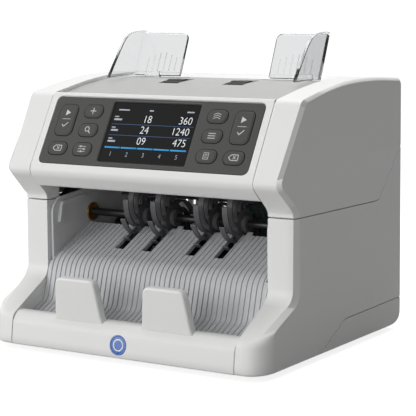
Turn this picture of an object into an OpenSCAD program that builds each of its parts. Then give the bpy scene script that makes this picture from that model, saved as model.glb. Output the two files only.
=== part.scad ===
// Banknote counting machine: desktop counter with a top hopper, a slanted
// control panel, a front stacker pocket and an upper unit that tips back.
// Units: millimetres. X to the right, -Y to the front, Z up, feet on Z = 0.
// The parts are drawn with y = 0 at the front lip and centred in Y at the end.

/* [Body] */

// Width between the two flat side faces
body_width = 248; // [246:1:252]
// Wall thickness of the moulded covers
wall = 2.5; // [2:0.1:3]
// Gap left at every seam between two covers
seam = 0.4; // [0.3:0.05:0.6]
// Height of the rubber feet below the base
foot_height = 4; // [3:0.5:4]

/* [Stacker] */

// Distance between two grooves of the stacker plate
groove_pitch = 4.5; // [4:0.5:9]
// Depth of the grooves in the stacker plate
groove_depth = 0.9; // [0.5:0.1:1.2]
// Curved fingers on each stacker wheel
wheel_fingers = 12; // [8:1:14]
// Outer radius of the stacker wheels
wheel_radius = 30; // [27:0.5:30]
// Height of the two front stops above the tray
stop_height = 31; // [24:1:36]

/* [Hopper] */

// Thickness of the clear note guides
guide_thickness = 3; // [2:0.25:3.5]
// Height of the note guides above the hopper
guide_height = 37; // [28:1:40]
// Radius of the pickup rollers
pickup_radius = 12.4; // [11.5:0.1:12.5]

/* [Keys] */

// Clearance round each key in the bezel
key_gap = 0.4; // [0.25:0.05:0.6]
// How far a key stands out of the bezel
key_rise = 0.8; // [0.6:0.1:1.2]

/* [Drive] */

// Diameter of the steel shafts
shaft_diameter = 6; // [5:0.5:6]
// Radial clearance between shaft and bush
running_gap = 0.05; // [0.03:0.01:0.09]

/* [Part] */

// Which sub-part to draw

/* [Hidden] */
$fn = 48;
depth = 224;                 // front lip to hinge barrels
half_width = body_width / 2;
cover_x = 101.2;             // inner face of the side covers
mid_x = cover_x - seam;      // half width of the covers between them
frame_in = 98.5;             // inner and outer face of the side frames
frame_out = 100.7;
base_z = foot_height;        // underside of the base
seat_z = base_z + 6.2;       // seat of motor and power supply, over the ribs
back_y = 221.5;              // outer face of the rear wall
corner_x = 92;               // feet and rear screws, either side of the middle
shaft_radius = shaft_diameter / 2;
bore_radius = shaft_radius + running_gap;

// Points below are [y, z]
nose_edge = [26.1, 135.7];
panel_crest = [60.5, 194.8];
panel_tilt = 90 - atan2(panel_crest[0] - nose_edge[0], panel_crest[1] - nose_edge[1]);
stacker_axis = [104, 95];
feed_axis = [150, 140];
pickup_axis = [130, 190.8];
motor_axis = [184, 46];
rocker_axis = [219.5, 48];
hinge_axis = [220.5, 150];
tie_axes = [[75, 20], [204, 16], [196, 112]];

// Hinge: barrels of the rear cover at knuckle_x, those of the top cover between
hinge_radius = 3.5;
hinge_bore = 1.5;
hinge_clear = 3.9;
knuckle_x = [48, 72];
knuckle_width = 9;

// X centres
wheel_x = [-46, -20, 20, 46];
feed_x = [-60, -22, 22, 60];
pickup_x = [-30, 30];

// Belt lanes: [left end of the pulleys, their width]
motor_lane = [104.5, 8];
pickup_lane = [-111, 7];
stacker_lane = [-118.5, 7];

// ---- path helpers -------------------------------------------------------
function unit(v) = v / norm(v);
function left_of(v) = [-v[1], v[0]];
function reversed(list) = [for (i = [len(list) - 1 : -1 : 0]) list[i]];
// Offsets an open path to its left, mitred at each vertex.
function shifted(path, dist) = [for (i = [0 : len(path) - 1])
  i == 0 ? path[0] + dist * left_of(unit(path[1] - path[0])) :
  i == len(path) - 1 ? path[i] + dist * left_of(unit(path[i] - path[i - 1])) :
  let (before = left_of(unit(path[i] - path[i - 1])),
    after = left_of(unit(path[i + 1] - path[i])))
  path[i] + dist * (before + after) / (1 + before * after)];
// Closed outline of a strip laid along a path.
function strip(path, thick) = concat(path, reversed(shifted(path, thick)));
// Point at the cut-back distance from corner towards next, short of half way.
function cut(corner, next, dist) = corner + (next - corner)
  * min(0.48, dist / norm([next[0] - corner[0], next[1] - corner[1]]));
// Quadratic curve that replaces vertex i.
function bend(path, i, dist, steps) = let (corner = path[i],
  start = cut(corner, path[(i + len(path) - 1) % len(path)], dist),
  end = cut(corner, path[(i + 1) % len(path)], dist))
  [for (k = [0 : steps]) let (t = k / steps)
    start * (1 - t) * (1 - t) + corner * 2 * t * (1 - t) + end * t * t];
// Rounds the vertices of a path: each vertex has its cut-back distance in cuts.
function rounded(path, cuts, steps = 6, closed = false) = [for (i = [0 : len(path) - 1])
  for (point = (cuts[i] <= 0 || (!closed && (i == 0 || i == len(path) - 1)))
    ? [path[i]] : bend(path, i, cuts[i], steps)) point];
// Closed outline of a moulded wall: the inner line is rounded on its own.
function wall_outline(path, cuts, thick, steps = 6) = concat(
  rounded(path, cuts, steps),
  reversed(rounded(shifted(path, thick), [for (dist = cuts) max(0.01, dist - abs(thick))], steps)));

// ---- shape helpers ------------------------------------------------------
// Sweeps a (y, z) outline along X.
module sweep_x(start, end) {
  translate([start, 0, 0]) rotate([90, 0, 90]) linear_extrude(end - start) children();
}
// The same, centred on x.
module slice_at(x, width) {
  sweep_x(x - width / 2, x + width / 2) children();
}
// Cylinder along X about a (y, z) point.
module rod_x(axis, radius, start, end) {
  translate([start, axis[0], axis[1]]) rotate([0, 90, 0]) cylinder(h = end - start, r = radius);
}
module rod_at(axis, radius, x, width) {
  rod_x(axis, radius, x - width / 2, x + width / 2);
}
// Cylinder along Y about an (x, z) point.
module rod_y(axis, radius, start, end) {
  translate([axis[0], end, axis[1]]) rotate([90, 0, 0]) cylinder(h = end - start, r = radius);
}
module both() {
  children();
  mirror([1, 0, 0]) children();
}
module rounded_slab(size, thick, corner) {
  x = size[0] / 2;
  y = size[1] / 2;
  linear_extrude(thick)
    polygon(rounded([[-x, -y], [x, -y], [x, y], [-x, y]], [corner, corner, corner, corner], 6, true));
}
// Places children on the slanted panel: y runs up it from the nose, z outwards.
module on_panel() {
  translate([0, nose_edge[0], nose_edge[1]]) rotate([panel_tilt, 0, 0]) children();
}
// Places children on the front lip, z outwards.
module on_lip() {
  translate([0, 1.25, 14.2]) rotate([82, 0, 0]) children();
}
module at_feet() {
  for (x = [-corner_x, corner_x], y = [32, 198]) translate([x, y, 0]) children();
}
// Places children on the rear screw axes at y, z towards the front.
module at_rear_screws(y) {
  for (x = [-corner_x, corner_x], z = [34, 134]) translate([x, y, z]) rotate([90, 0, 0]) children();
}

// ---- moulded side covers ------------------------------------------------
// Outline at step t of the edge bevel, from 0 at its start to 1 at the side face.
function bevel_ring(stations, t) = [for (s = stations) let (
  out = (1 - s[5]) * t + s[5] * sin(90 * t),
  inset = (1 - s[5]) * t + s[5] * (1 - cos(90 * t)))
  [s[2] + (half_width - s[2]) * out, s[0] + (s[3] - s[0]) * inset, s[1] + (s[4] - s[1]) * inset]];
// Solid from the plane x = start out to the side face.
module shell_solid(stations, start, steps = 6) {
  n = len(stations);
  points = concat([for (s = stations) [start, s[0], s[1]]],
    [for (k = [0 : steps]) each bevel_ring(stations, k / steps)]);
  polyhedron(points = points, convexity = 8, faces = concat(
    [[for (i = [n - 1 : -1 : 0]) i]],
    [[for (i = [0 : n - 1]) (steps + 1) * n + i]],
    [for (k = [0 : steps]) for (i = [0 : n - 1]) let (j = (i + 1) % n) each
      [[k * n + i, (k + 1) * n + j, (k + 1) * n + i], [k * n + i, k * n + j, (k + 1) * n + j]]]));
}
// Stations: [y, z of the outline, x where the edge bevel starts,
// y, z on the flat side face, roundness of the bevel].
upper_stations = rounded([
  [48.5, 111.0, 122.6, 55.3, 111.0, 0], [48.4, 115.4, 122.4, 54.7, 116.2, 0],
  [26.1, 135.7, 120.2, 27.8, 137.0, 0], [60.5, 194.8, 122.8, 65.6, 192.8, 0],
  [99.2, 201.5, 121.2, 97, 199.2, 0.4], [126.1, 204.8, 121.2, 124, 202.4, 0.4],
  [153.9, 205.8, 121.2, 153.9, 203.3, 0.4], [183, 205.2, 121.2, 183, 202.7, 0.4],
  [212.7, 203.1, 121.2, 211, 200.7, 0.4], [221.5, 202.4, 121.5, 219.3, 200.1, 0.4],
  [221.5, 151.0, 121.5, 219.3, 149.1, 0.4], [181.8, 110.2, 121.5, 181.8, 110.2, 0.4],
  [176.5, 109.3, 121.5, 176.5, 109.3, 0.4]],
  [0, 7, 6, 4, 12, 12, 12, 12, 8, 4, 1.2, 3, 3], 5, true);
lower_stations = rounded([
  [48.5, 110.3, 122.6, 55.3, 110.3, 0.2], [176.6, 108.6, 121.5, 176.6, 108.6, 0.4],
  [182.1, 109.5, 121.5, 182.1, 109.5, 0.4], [221.5, 149.8, 121.5, 219.3, 147.6, 0.4],
  [221.5, 25.9, 121.5, 219.3, 25.9, 0.4], [128.4, 24.8, 121.5, 128.4, 24.8, 0.4],
  [123.4, 24.1, 121.5, 123.4, 24.1, 0.4], [84.6, base_z, 121.0, 85.6, base_z + 1, 0.4],
  [1.2, base_z, 108, 20, base_z + 1, 1], [0.3, 8, 107, 18.5, 10, 1],
  [3.2, 27.0, 107, 19, 28.5, 1], [9.5, 30.6, 117.5, 17.8, 33.6, 0.2],
  [47.6, 51.5, 122.4, 54.9, 49.4, 0]],
  [0, 3, 3, 1.5, 0, 3, 3, 0, 2, 3, 3.4, 5, 8], 5, true);
pan_stations = rounded([
  [86.2, base_z, 121.0, 87.0, base_z + 1, 0.4], [123.6, 23.4, 121.5, 123.6, 23.4, 0.4],
  [128.6, 24.2, 121.5, 128.6, 24.2, 0.4], [221.5, 25.2, 121.5, 219.3, 25.2, 0.4],
  [221.5, base_z, 121.5, 219.3, base_z + 1, 0.4]],
  [0, 3, 3, 0, 17], 6, true);

// Bored posts on the inside of the side wall.
module screw_posts(centres) {
  for (axis = centres) difference() {
    rod_x(axis, 4, 106, half_width - wall + 0.5);
    rod_x(axis, 1.4, 105, half_width - wall - 2);
  }
}
// Room for the hinge barrels.
module hinge_room() rod_x(hinge_axis, 4.2, cover_x - 1, cover_x + 4);

// The covers are hollow behind the outer walls and open at the split line:
// an inner cavity, an outer one inside the bevel and a front one joining them.
module upper_cover() {
  difference() {
    shell_solid(upper_stations, cover_x);
    sweep_x(cover_x - 1, 112) polygon(rounded([[64, 100], [64, 192.2 - wall],
      [99.5, 201.3 - wall], [126.1, 204.6 - wall], [153.9, 205.6 - wall], [183, 205.0 - wall],
      [211, 203.0 - wall], [back_y - wall, 202.2 - wall], [back_y - wall, 100]],
      [0, 3, 12, 12, 12, 12, 5, 3, 0], 4, true));
    sweep_x(111, half_width - wall) polygon(rounded([[57.6, 100], [57.6, 118], [31.4, 138.6],
      [66.5, 190.2], [97, 198.0 - wall], [124, 201.2 - wall], [153.9, 202.1 - wall],
      [183, 201.5 - wall], [210, 199.5 - wall], [216.4, 198.6 - wall], [216.4, 100]],
      [0, 5, 4, 4, 12, 12, 12, 12, 5, 3, 0], 4, true));
    sweep_x(cover_x + wall - 0.5, 111.2)
      polygon([[51.5, 100], [51.5, 117.4], [30.6, 136.4], [64.5, 191], [64.5, 100]]);
    hinge_room();
  }
  screw_posts([[70, 180], [196, 190], [196, 160]]);
}
module lower_cover() {
  floor_z = base_z + wall;
  difference() {
    shell_solid(lower_stations, cover_x);
    sweep_x(cover_x - 1, 112) polygon([[62, 120], [62, floor_z], [84.0, floor_z],
      [122.5, 24.0 + wall], [128, 24.8 + wall], [back_y - wall, 25.9 + wall],
      [back_y - wall, 155], [180, 120]]);
    sweep_x(111, half_width - wall) polygon(rounded([[58.6, 120], [58.6, 53.5], [25, 33.4],
      [22.5, floor_z + 1], [84.4, floor_z + 1], [122.4, 24.6 + wall], [128, 25.4 + wall],
      [216.4, 25.9 + wall], [216.4, 152], [180, 120]],
      [0, 8, 4, 0, 0, 0, 0, 0, 0, 0], 4, true));
    sweep_x(cover_x + wall - 0.5, 111.2) polygon([[51.5, 120], [51.5, 50.0], [7.5, 26.5],
      [5.5, floor_z], [63, floor_z], [63, 120]]);
    hinge_room();
  }
  screw_posts([[74, 96], [74, 20], [206, 40], [206, 122]]);
}
// A zero resize keeps every size; it gathers the cover into one solid.
module lower_left_cover() color([0.88, 0.88, 0.88])
  mirror([1, 0, 0]) resize([0, 0, 0]) lower_cover();
module lower_right_cover() color([0.88, 0.88, 0.88]) resize([0, 0, 0]) lower_cover();
module upper_left_cover() color([0.9, 0.9, 0.9]) mirror([1, 0, 0]) upper_cover();
module upper_right_cover() color([0.9, 0.9, 0.9]) upper_cover();

// ---- base, tray and rear cover ------------------------------------------
module base_pan() color([0.82, 0.82, 0.82]) difference() {
  union() {
    sweep_x(-cover_x, cover_x) polygon(wall_outline(
      [[22.4, base_z], [back_y, base_z], [back_y, 25.2]], [0, 17, 0], wall, 8));
    // raised ends below the side covers
    both() difference() {
      shell_solid(pan_stations, cover_x - 0.4, 4);
      sweep_x(cover_x - 2, half_width - wall) polygon(rounded([[94, base_z + wall], [124.4, 18],
        [129.5, 28], [230, 28], [219 - wall, 22], [219 - wall, base_z + wall]],
        [0, 3, 0, 0, 0, 14], 6, true));
    }
    // stiffening ribs across the floor
    for (y = [60, 112, 160]) translate([-96, y, base_z + 1]) cube([192, 2, 5]);
  }
  // foot recesses and air slots
  at_feet() translate([0, 0, base_z - 1]) cylinder(h = 2, r = 7.3);
  for (i = [-4 : 4]) translate([i * 9 - 2, 175, base_z - 1]) cube([4, 26, 5]);
}
module feet() color([0.1, 0.1, 0.1]) at_feet() cylinder(h = base_z + 0.9, r = 7);
module front_tray() color([0.88, 0.88, 0.88]) difference() {
  union() {
    sweep_x(-mid_x, mid_x) polygon(wall_outline([[22, base_z], [1.0, base_z], [0.3, 8],
      [2.5, 23.4], [8.4, 29.6], [15.2, 29.6], [15.2, 8]], [0, 1.5, 3, 3.5, 3.5, 1, 0], -wall));
    for (x = [-96, -40, 40, 96])
      slice_at(x, 2) polygon([[2, 6], [3.5, 22], [8, 28.5], [14, 28.5], [14, 6]]);
    // the two front stops, leaning slightly forward
    both() translate([40.1, 9.0, 27.5]) rotate([8, 0, 0]) translate([0, 4, 0])
      rotate([90, 0, 0]) linear_extrude(7.4) polygon(rounded([[-21.8, 0], [21.8, 0],
        [17.7, stop_height + 2], [-17.7, stop_height + 2]], [0, 0, 5, 5], 6, true));
  }
  // badge recess in the lip
  on_lip() translate([0, 0, -1.2]) cylinder(h = 5, r = 7.6);
}
// Disc with a raised rim and a raised hexagon.
module badge() color([0.1, 0.3, 0.62]) on_lip() difference() {
  translate([0, 0, -1.15]) cylinder(h = 1.25, r = 7.4);
  difference() {
    translate([0, 0, -0.15]) cylinder(h = 2, r = 6.6);
    translate([0, 0, -0.15]) cylinder(h = 0.2, r = 5.6, $fn = 6);
  }
}
// Upper face of the stacker plate, (y, z) from the tray up to the wheels.
plate_path = rounded([[15.8, 21.5], [40.7, 32.3], [50.0, 64.9], [98, 87.3]], [0, 4, 9, 0], 6);
plate_thickness = 3;
module stacker_plate() color([0.8, 0.8, 0.81]) difference() {
  union() {
    sweep_x(-98.2, 98.2) polygon(strip(plate_path, -plate_thickness));
    // wider in front of the side frames, up to the covers
    intersection() {
      sweep_x(-mid_x, mid_x) polygon(strip(plate_path, -plate_thickness));
      translate([-150, 0, 0]) cube([300, 51.4, 100]);
    }
    // stripper tabs beside the wheels
    for (x = [-55, -31, -9, 9, 31, 55])
      slice_at(x, 5.2) polygon([[88, 81.8], [101, 89.6], [100, 87.2], [88, 80.0]]);
    for (x = [-97, 97])
      slice_at(x, 2) polygon([[46, 10], [54, 63.6], [88, 79.6], [88, 10]]);
  }
  for (i = [0 : floor(98 / groove_pitch - 0.5)], side = [-1, 1])
    slice_at(side * (i + 0.5) * groove_pitch, 0.9)
      polygon(strip(concat([[14, 20.7]], plate_path, [[100, 88.2]]), -groove_depth));
  // clearance for the lower front tie rod
  rod_x(tie_axes[0], 3.5, -100, 100);
  // slots for the stacker wheels
  for (x = wheel_x) slice_at(x, 8.4) polygon([[68, 64], [68, 95], [104, 110], [104, 64]]);
}
module rear_cover() color([0.84, 0.84, 0.84]) difference() {
  union() {
    translate([-mid_x, back_y - wall, 26.6]) cube([2 * mid_x, wall, 122.8]);
    for (x = [-98, 98]) translate([x - 1, 208, 27]) cube([2, 12, 112]);
    both() for (x = knuckle_x) {
      rod_x(hinge_axis, hinge_radius, x, x + knuckle_width);
      translate([x, 217.5, 143]) cube([knuckle_width, 4, 6]);
    }
  }
  both() rod_x(hinge_axis, hinge_bore, 40, 90);
  // clearance for the knuckles of the upper unit
  both() rod_x(hinge_axis, hinge_clear, 57.3, 71.7);
  // air slots
  for (x = [-84, 20], j = [0 : 8]) translate([x + j * 8, 215, 88]) cube([3.2, 9, 40]);
  // openings for the inlet and the ports
  translate([-84, 215, 34]) cube([50, 9, 28]);
  translate([18, 215, 36]) cube([64, 9, 18]);
  at_rear_screws(230) cylinder(h = 20, r = 1.65);
}
module rear_screws() color([0.5, 0.5, 0.52]) at_rear_screws(222.8) difference() {
  union() {
    cylinder(h = 1.3, r = 3.2);
    cylinder(h = 9, r = 1.6);
  }
  for (a = [0, 90]) rotate([0, 0, a]) translate([-2, -0.4, -0.1]) cube([4, 0.8, 0.8]);
}

// ---- side frames --------------------------------------------------------
module side_frame(motor_hole) {
  difference() {
    sweep_x(frame_in, frame_out) polygon(rounded([[52, 8], [208, 8], [208, 138], [172, 176],
      [146, 198], [112, 198], [104, 186], [104, 124], [96, 115], [60, 111.5], [52, 104]],
      [0, 0, 6, 8, 8, 6, 6, 8, 4, 4, 5], 4, true));
    for (axis = [stacker_axis, feed_axis, pickup_axis]) rod_x(axis, 6, 97, 102);
    for (axis = tie_axes) rod_x(axis, 2, 97, 102);
    if (motor_hole) rod_x(motor_axis, 9.2, 97, 102);
    sweep_x(97, 102)
      polygon(rounded([[122, 40], [160, 40], [160, 100], [122, 74]], [6, 6, 6, 6], 4, true));
  }
  // stiffening flange along the pocket
  sweep_x(96, 99) polygon(rounded([[58, 92], [62, 108], [92, 111], [95, 108.6], [64, 105.4],
    [61, 92]], [0, 3, 2, 0, 2, 0], 3, true));
}
module left_frame() color([0.3, 0.3, 0.31]) mirror([1, 0, 0]) side_frame(false);
module right_frame() color([0.3, 0.3, 0.31]) side_frame(true);
// Rods between the frames, with a thin end and a head on each side.
module tie_rods() color([0.7, 0.7, 0.72]) for (axis = tie_axes) {
  rod_x(axis, 3, -frame_in, frame_in);
  both() rod_x(axis, 1.98, 98, 102.5);
  both() rod_x(axis, 3.6, 100.75, 102.6);
}
module hinge_pins() color([0.7, 0.7, 0.72])
  both() rod_x(hinge_axis, hinge_bore - 0.01, 47.6, 81.4);

// ---- electrical parts ---------------------------------------------------
module inlet_module() color([0.12, 0.12, 0.12]) {
  difference() {
    union() {
      translate([-83.7, 204, 34.3]) cube([49.4, 17.8, 27.4]);
      translate([-86, 221.6, 32]) cube([54, 1.2, 32]);
    }
    translate([-81, 207, 36]) cube([27, 17, 24]);          // socket
    translate([-50, 207, 37.5]) cube([14, 17, 21]);        // rocker well
    rod_x(rocker_axis, 1.55, -51.2, -35);
  }
  // socket blades, the middle one higher
  for (x = [-74, -67.5, -61]) translate([x - 1, 206, 44 + (x == -67.5 ? 5 : 0)]) cube([2, 12, 4]);
}
module power_rocker() color([0.15, 0.15, 0.15])
  translate([0, rocker_axis[0], rocker_axis[1]]) {
    rod_x([0, 0], 1.5, -49.95, -36.05);
    sweep_x(-49.6, -36.4) polygon(rounded([[-5, -2.5], [-5, 2.5], [2.2, 9.6], [3.6, 9.6],
      [2.2, 0], [3.6, -9.6], [2.2, -9.6]], [0, 0, 0, 1, 4, 1, 0], 5, true));
  }
module data_ports() color([0.6, 0.6, 0.62]) {
  // rectangular ports: [x, width]
  for (port = [[20, 16], [40, 13], [57, 13]]) difference() {
    translate([port[0], 207, 38]) cube([port[1], 14.3, 14]);
    translate([port[0] + 1.2, 212, 39.2]) cube([port[1] - 2.4, 20, 11.6]);
  }
  // round port
  difference() {
    rod_y([76, 45], 4.5, 207, 221.3);
    rod_y([76, 45], 3, 212, 230);
  }
  translate([18.5, 206, 36.5]) cube([63, 1.4, 17]);
}
module main_board() color([0.1, 0.35, 0.2]) {
  translate([-30, 203, 62]) cube([118, 1.6, 70]);
  for (x = [-24, 14, 50]) translate([x, 200, 74]) cube([18, 3.2, 18]);
  for (x = [-18 : 18 : 72]) rod_y([x, 120], 3.5, 193, 203.2);
  // standoffs to the rear cover
  for (x = [-28, 84], z = [66, 128]) rod_y([x, z], 2, 204.4, 218.95);
}
// Open-topped case with a board, a block and three cylinders in it.
module power_supply() color([0.6, 0.62, 0.63]) {
  difference() {
    translate([-94, 128, seat_z]) cube([54, 72, 34]);
    translate([-92.5, 126, base_z + 7.8]) cube([51, 72.5, 30.8]);
  }
  translate([-91, 132, base_z + 10]) cube([48, 64, 1.6]);
  translate([-88, 140, base_z + 11.5]) cube([22, 26, 18]);
  for (y = [142, 158, 174]) translate([-54, y, base_z + 11.5]) cylinder(h = 20, r = 6);
}
module motor_body() color([0.35, 0.35, 0.37]) difference() {
  union() {
    rod_x(motor_axis, 21, 24, 86);
    rod_x(motor_axis, 23, 86, 89);
    rod_x(motor_axis, 9, 89, 98.4);
    rod_x(motor_axis, 7, 20, 24.2);
    translate([30, motor_axis[0] - 17, seat_z]) cube([50, 32, 18]);
  }
  rod_x(motor_axis, bore_radius, 10, 110);
}

// ---- drive --------------------------------------------------------------
// Running radii of the pulleys
motor_pulley_radius = 8;
feed_driven_radius = 16;
pickup_pulley_radius = 9;     // the same on the feed shaft
feed_stacker_radius = 10;
stacker_pulley_radius = 20;

// Round drive pulley with flanges, bored for its shaft.
module pulley(axis, radius, lane) {
  start = lane[0];
  end = lane[0] + lane[1];
  difference() {
    union() {
      rod_x(axis, radius, start + 0.6, end - 0.6);
      rod_x(axis, radius + 1.8, start, start + 1);
      rod_x(axis, radius + 1.8, end - 1, end);
    }
    rod_x(axis, shaft_radius, start - 1, end + 1);
  }
}
function arc(centre, radius, from, span) = [for (i = [0 : 24])
  let (t = from + span * i / 24) centre + radius * [cos(t), sin(t)]];
// Closed line round two circles.
function belt_line(axis1, radius1, axis2, radius2) = let (
  span = axis2 - axis1,
  heading = atan2(span[1], span[0]),
  contact = acos((radius1 - radius2) / norm(span)))
  concat(arc(axis1, radius1, heading + contact, 360 - 2 * contact),
    arc(axis2, radius2, heading - contact, 2 * contact));
module belt(axis1, radius1, axis2, radius2, lane) {
  sweep_x(lane[0] + 1.4, lane[0] + lane[1] - 1.4) difference() {
    polygon(belt_line(axis1, radius1 + 1.4, axis2, radius2 + 1.4));
    polygon(belt_line(axis1, radius1 + 0.15, axis2, radius2 + 0.15));
  }
}
module motor_pulley() color([0.75, 0.75, 0.77]) {
  rod_x(motor_axis, shaft_radius, 16, 113);
  pulley(motor_axis, motor_pulley_radius, motor_lane);
}
module feed_belt() color([0.08, 0.08, 0.08])
  belt(motor_axis, motor_pulley_radius, feed_axis, feed_driven_radius, motor_lane);
module pickup_belt() color([0.08, 0.08, 0.08])
  belt(feed_axis, pickup_pulley_radius, pickup_axis, pickup_pulley_radius, pickup_lane);
module stacker_belt() color([0.08, 0.08, 0.08])
  belt(feed_axis, feed_stacker_radius, stacker_axis, stacker_pulley_radius, stacker_lane);
module feed_pulleys() color([0.2, 0.2, 0.21]) {
  pulley(feed_axis, feed_driven_radius, motor_lane);
  pulley(feed_axis, pickup_pulley_radius, pickup_lane);
  pulley(feed_axis, feed_stacker_radius, stacker_lane);
}
module pickup_pulley() color([0.2, 0.2, 0.21])
  pulley(pickup_axis, pickup_pulley_radius, pickup_lane);
module stacker_pulley() color([0.2, 0.2, 0.21])
  pulley(stacker_axis, stacker_pulley_radius, stacker_lane);
module shaft_bushes() color([0.72, 0.56, 0.28])
  both() for (axis = [stacker_axis, feed_axis, pickup_axis]) difference() {
    union() {
      rod_x(axis, 5.98, frame_in, frame_out);
      rod_x(axis, 7.5, 97.2, frame_in);
    }
    rod_x(axis, bore_radius, 90, 130);
  }
module feed_shaft() color([0.72, 0.72, 0.74]) rod_x(feed_axis, shaft_radius, -119, 114);
module pickup_shaft() color([0.72, 0.72, 0.74]) rod_x(pickup_axis, shaft_radius, -112, 103);
module stacker_shaft() color([0.72, 0.72, 0.74]) rod_x(stacker_axis, shaft_radius, -119, 103);
// Rollers with a hub and three grooves each.
module feed_rollers() color([0.13, 0.13, 0.13]) for (x = feed_x) difference() {
  union() {
    rod_at(feed_axis, 16, x, 14);
    rod_at(feed_axis, 6, x, 20);
  }
  rod_at(feed_axis, shaft_radius, x, 24);
  for (k = [-1, 0, 1]) difference() {
    rod_at(feed_axis, 17, x + k * 4, 1);
    rod_at(feed_axis, 15.2, x, 16);
  }
}
// Rollers notched along their length.
module pickup_rollers() color([0.16, 0.16, 0.17]) for (x = pickup_x) difference() {
  rod_at(pickup_axis, pickup_radius, x, 16);
  rod_at(pickup_axis, shaft_radius, x, 24);
  for (a = [0 : 20 : 340]) translate([x - 9, pickup_axis[0], pickup_axis[1]])
    rotate([a, 0, 0]) translate([0, -0.5, pickup_radius - 0.7]) cube([18, 1, 2]);
}
// Curved centre line of a stacker wheel finger, from the hub outwards.
finger_path = [for (t = [0 : 8])
  let (radius = 11 + (wheel_radius - 11.2) * t / 8, angle = -62 * pow(t / 8, 1.1))
  radius * [cos(angle), sin(angle)]];
module stacker_wheels() color([0.14, 0.14, 0.15]) for (x = wheel_x) difference() {
  union() {
    slice_at(x, 5) translate(stacker_axis) {
      circle(r = 12.5);
      for (k = [0 : wheel_fingers - 1])
        rotate(k * 360 / wheel_fingers) polygon(strip(finger_path, 1.4));
    }
    rod_at(stacker_axis, 7, x, 12);
  }
  rod_at(stacker_axis, shaft_radius, x, 24);
}

// ---- note path ----------------------------------------------------------
module sensor_bars() color([0.1, 0.1, 0.11]) {
  // front bar, with a strip set in its rear face
  difference() {
    translate([-92, 119, 125.5]) cube([184, 12, 12]);
    translate([-88, 130, 128]) cube([176, 2, 7]);
  }
  translate([-87.8, 130.1, 128.2]) cube([175.6, 0.8, 6.6]);
  // rear bar, with five blocks in its front face
  difference() {
    translate([-92, 170.5, 124]) cube([184, 12, 14]);
    translate([-88, 169.5, 127]) cube([176, 2, 8]);
  }
  for (x = [-70 : 35 : 70]) translate([x - 4, 169.8, 129]) cube([8, 1.8, 4]);
}
module note_guides() color([0.16, 0.16, 0.17]) {
  // curved sheet behind and below the feed rollers
  sweep_x(-93, 93) polygon(strip(rounded(
    [[167.6, 168], [168.6, 140], [160, 121.5], [137, 106.5]], [0, 12, 12, 0], 5), 1.6));
  // front sheet, slotted for the feed rollers
  difference() {
    sweep_x(-93, 93)
      polygon(strip(rounded([[128, 176], [131.6, 152], [131.6, 141]], [0, 6, 0], 4), 1.6));
    for (x = feed_x) translate([x - 8.5, 125, 140]) cube([17, 12, 20]);
  }
  for (x = [-93, 91]) translate([x, 160, 146]) cube([2, 8.4, 20]);
}

// ---- upper unit between the side covers ---------------------------------
module top_cover() color([0.9, 0.9, 0.9]) difference() {
  union() {
    sweep_x(-mid_x, mid_x) polygon(wall_outline([[157.4, 203.0], [167, 205.4], [183, 205.0],
      [212.7, 203.0], [back_y, 202.3], [back_y, 150.8]], [0, 4, 8, 6, 5, 0], -wall));
    both() {
      rod_x(hinge_axis, hinge_radius, 57.6, 71.4);
      translate([57.6, 218.4, 151]) cube([13.8, 3.1, 6]);
    }
    for (x = [-60, 0, 60]) translate([x - 1, 180, 196]) cube([2, 39.5, 7]);
  }
  both() rod_x(hinge_axis, hinge_bore + running_gap, 50, 90);
  // clearance for the knuckles of the rear cover
  both() rod_x(hinge_axis, hinge_clear, 47.4, 57.3);
  both() rod_x(hinge_axis, hinge_clear, 71.7, 81.6);
  translate([-mid_x + 3, 218, 156]) cube([4, 5, 3]);
}

// Panel sizes [x, y] and places, in the plane of the slanted panel
bezel_size = [189.8, 57.4];
bezel_y = 36.9;
window_size = [78.4, 49.8];
window_y = 37.4;
window_gap = 0.2;
small_key_size = [17.4, 10.8];
large_key_size = [16.6, 26.6];
key_outer_x = 80;
key_inner_x = 56.5;
// Small keys: clear left, three down the left, three down the right, clear right
small_keys = [
  [-key_outer_x, 21.1],
  for (side = [-1, 1]) for (y = [53.4, 37.4, 21.2]) [side * key_inner_x, y],
  [key_outer_x, 21.1]];
large_keys = [[-key_outer_x, 45.2], [key_outer_x, 45.2]];

module control_cover() color([0.9, 0.9, 0.9]) difference() {
  union() {
    sweep_x(-mid_x, mid_x) polygon(wall_outline(
      [panel_crest, nose_edge, [39.6, 122.6], [66, 127.5]], [0, 7, 3.5, 0], wall));
    // rolled crest
    sweep_x(-mid_x, mid_x) polygon(rounded([[59.4, 193.0], [60.4, 194.7], [62.6, 195.2],
      [63.9, 194.2], [63.9, 188.5], [61.4, 188.5], [61.4, 190]], [0, 1, 1, 1, 0, 0, 0], 3, true));
    for (x = [-99.4, 99.4])
      slice_at(x, 2.4) polygon([[29, 137], [40, 126], [64, 130], [63, 190], [60, 190]]);
  }
  on_panel() translate([0, bezel_y, -6]) rounded_slab(bezel_size + 2 * seam * [1, 1], 10, 6);
}
module key_openings(centres, size) {
  for (c = centres) translate([c[0], c[1], -5]) rounded_slab(size + 2 * key_gap * [1, 1], 10, 5);
}
module control_bezel() color([0.25, 0.25, 0.24]) on_panel() difference() {
  union() {
    translate([0, bezel_y, -2.6]) rounded_slab(bezel_size, 2.4, 5.6);
    for (x = [-92, 92]) translate([x - 1, 12, -6]) cube([2, 50, 4]);
  }
  translate([0, window_y, -5]) rounded_slab(window_size + 2 * window_gap * [1, 1], 10, 1.5);
  key_openings(small_keys, small_key_size);
  key_openings(large_keys, large_key_size);
}
module display_window() color([0.03, 0.03, 0.035])
  on_panel() translate([0, window_y, -3.0]) rounded_slab(window_size, 1.4, 1.3);
module display_module() color([0.5, 0.5, 0.52]) on_panel() {
  translate([-41, 12, -8.2]) cube([82, 49, 5]);
  translate([-30, 20, -10.2]) cube([60, 30, 2.2]);
}
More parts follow.
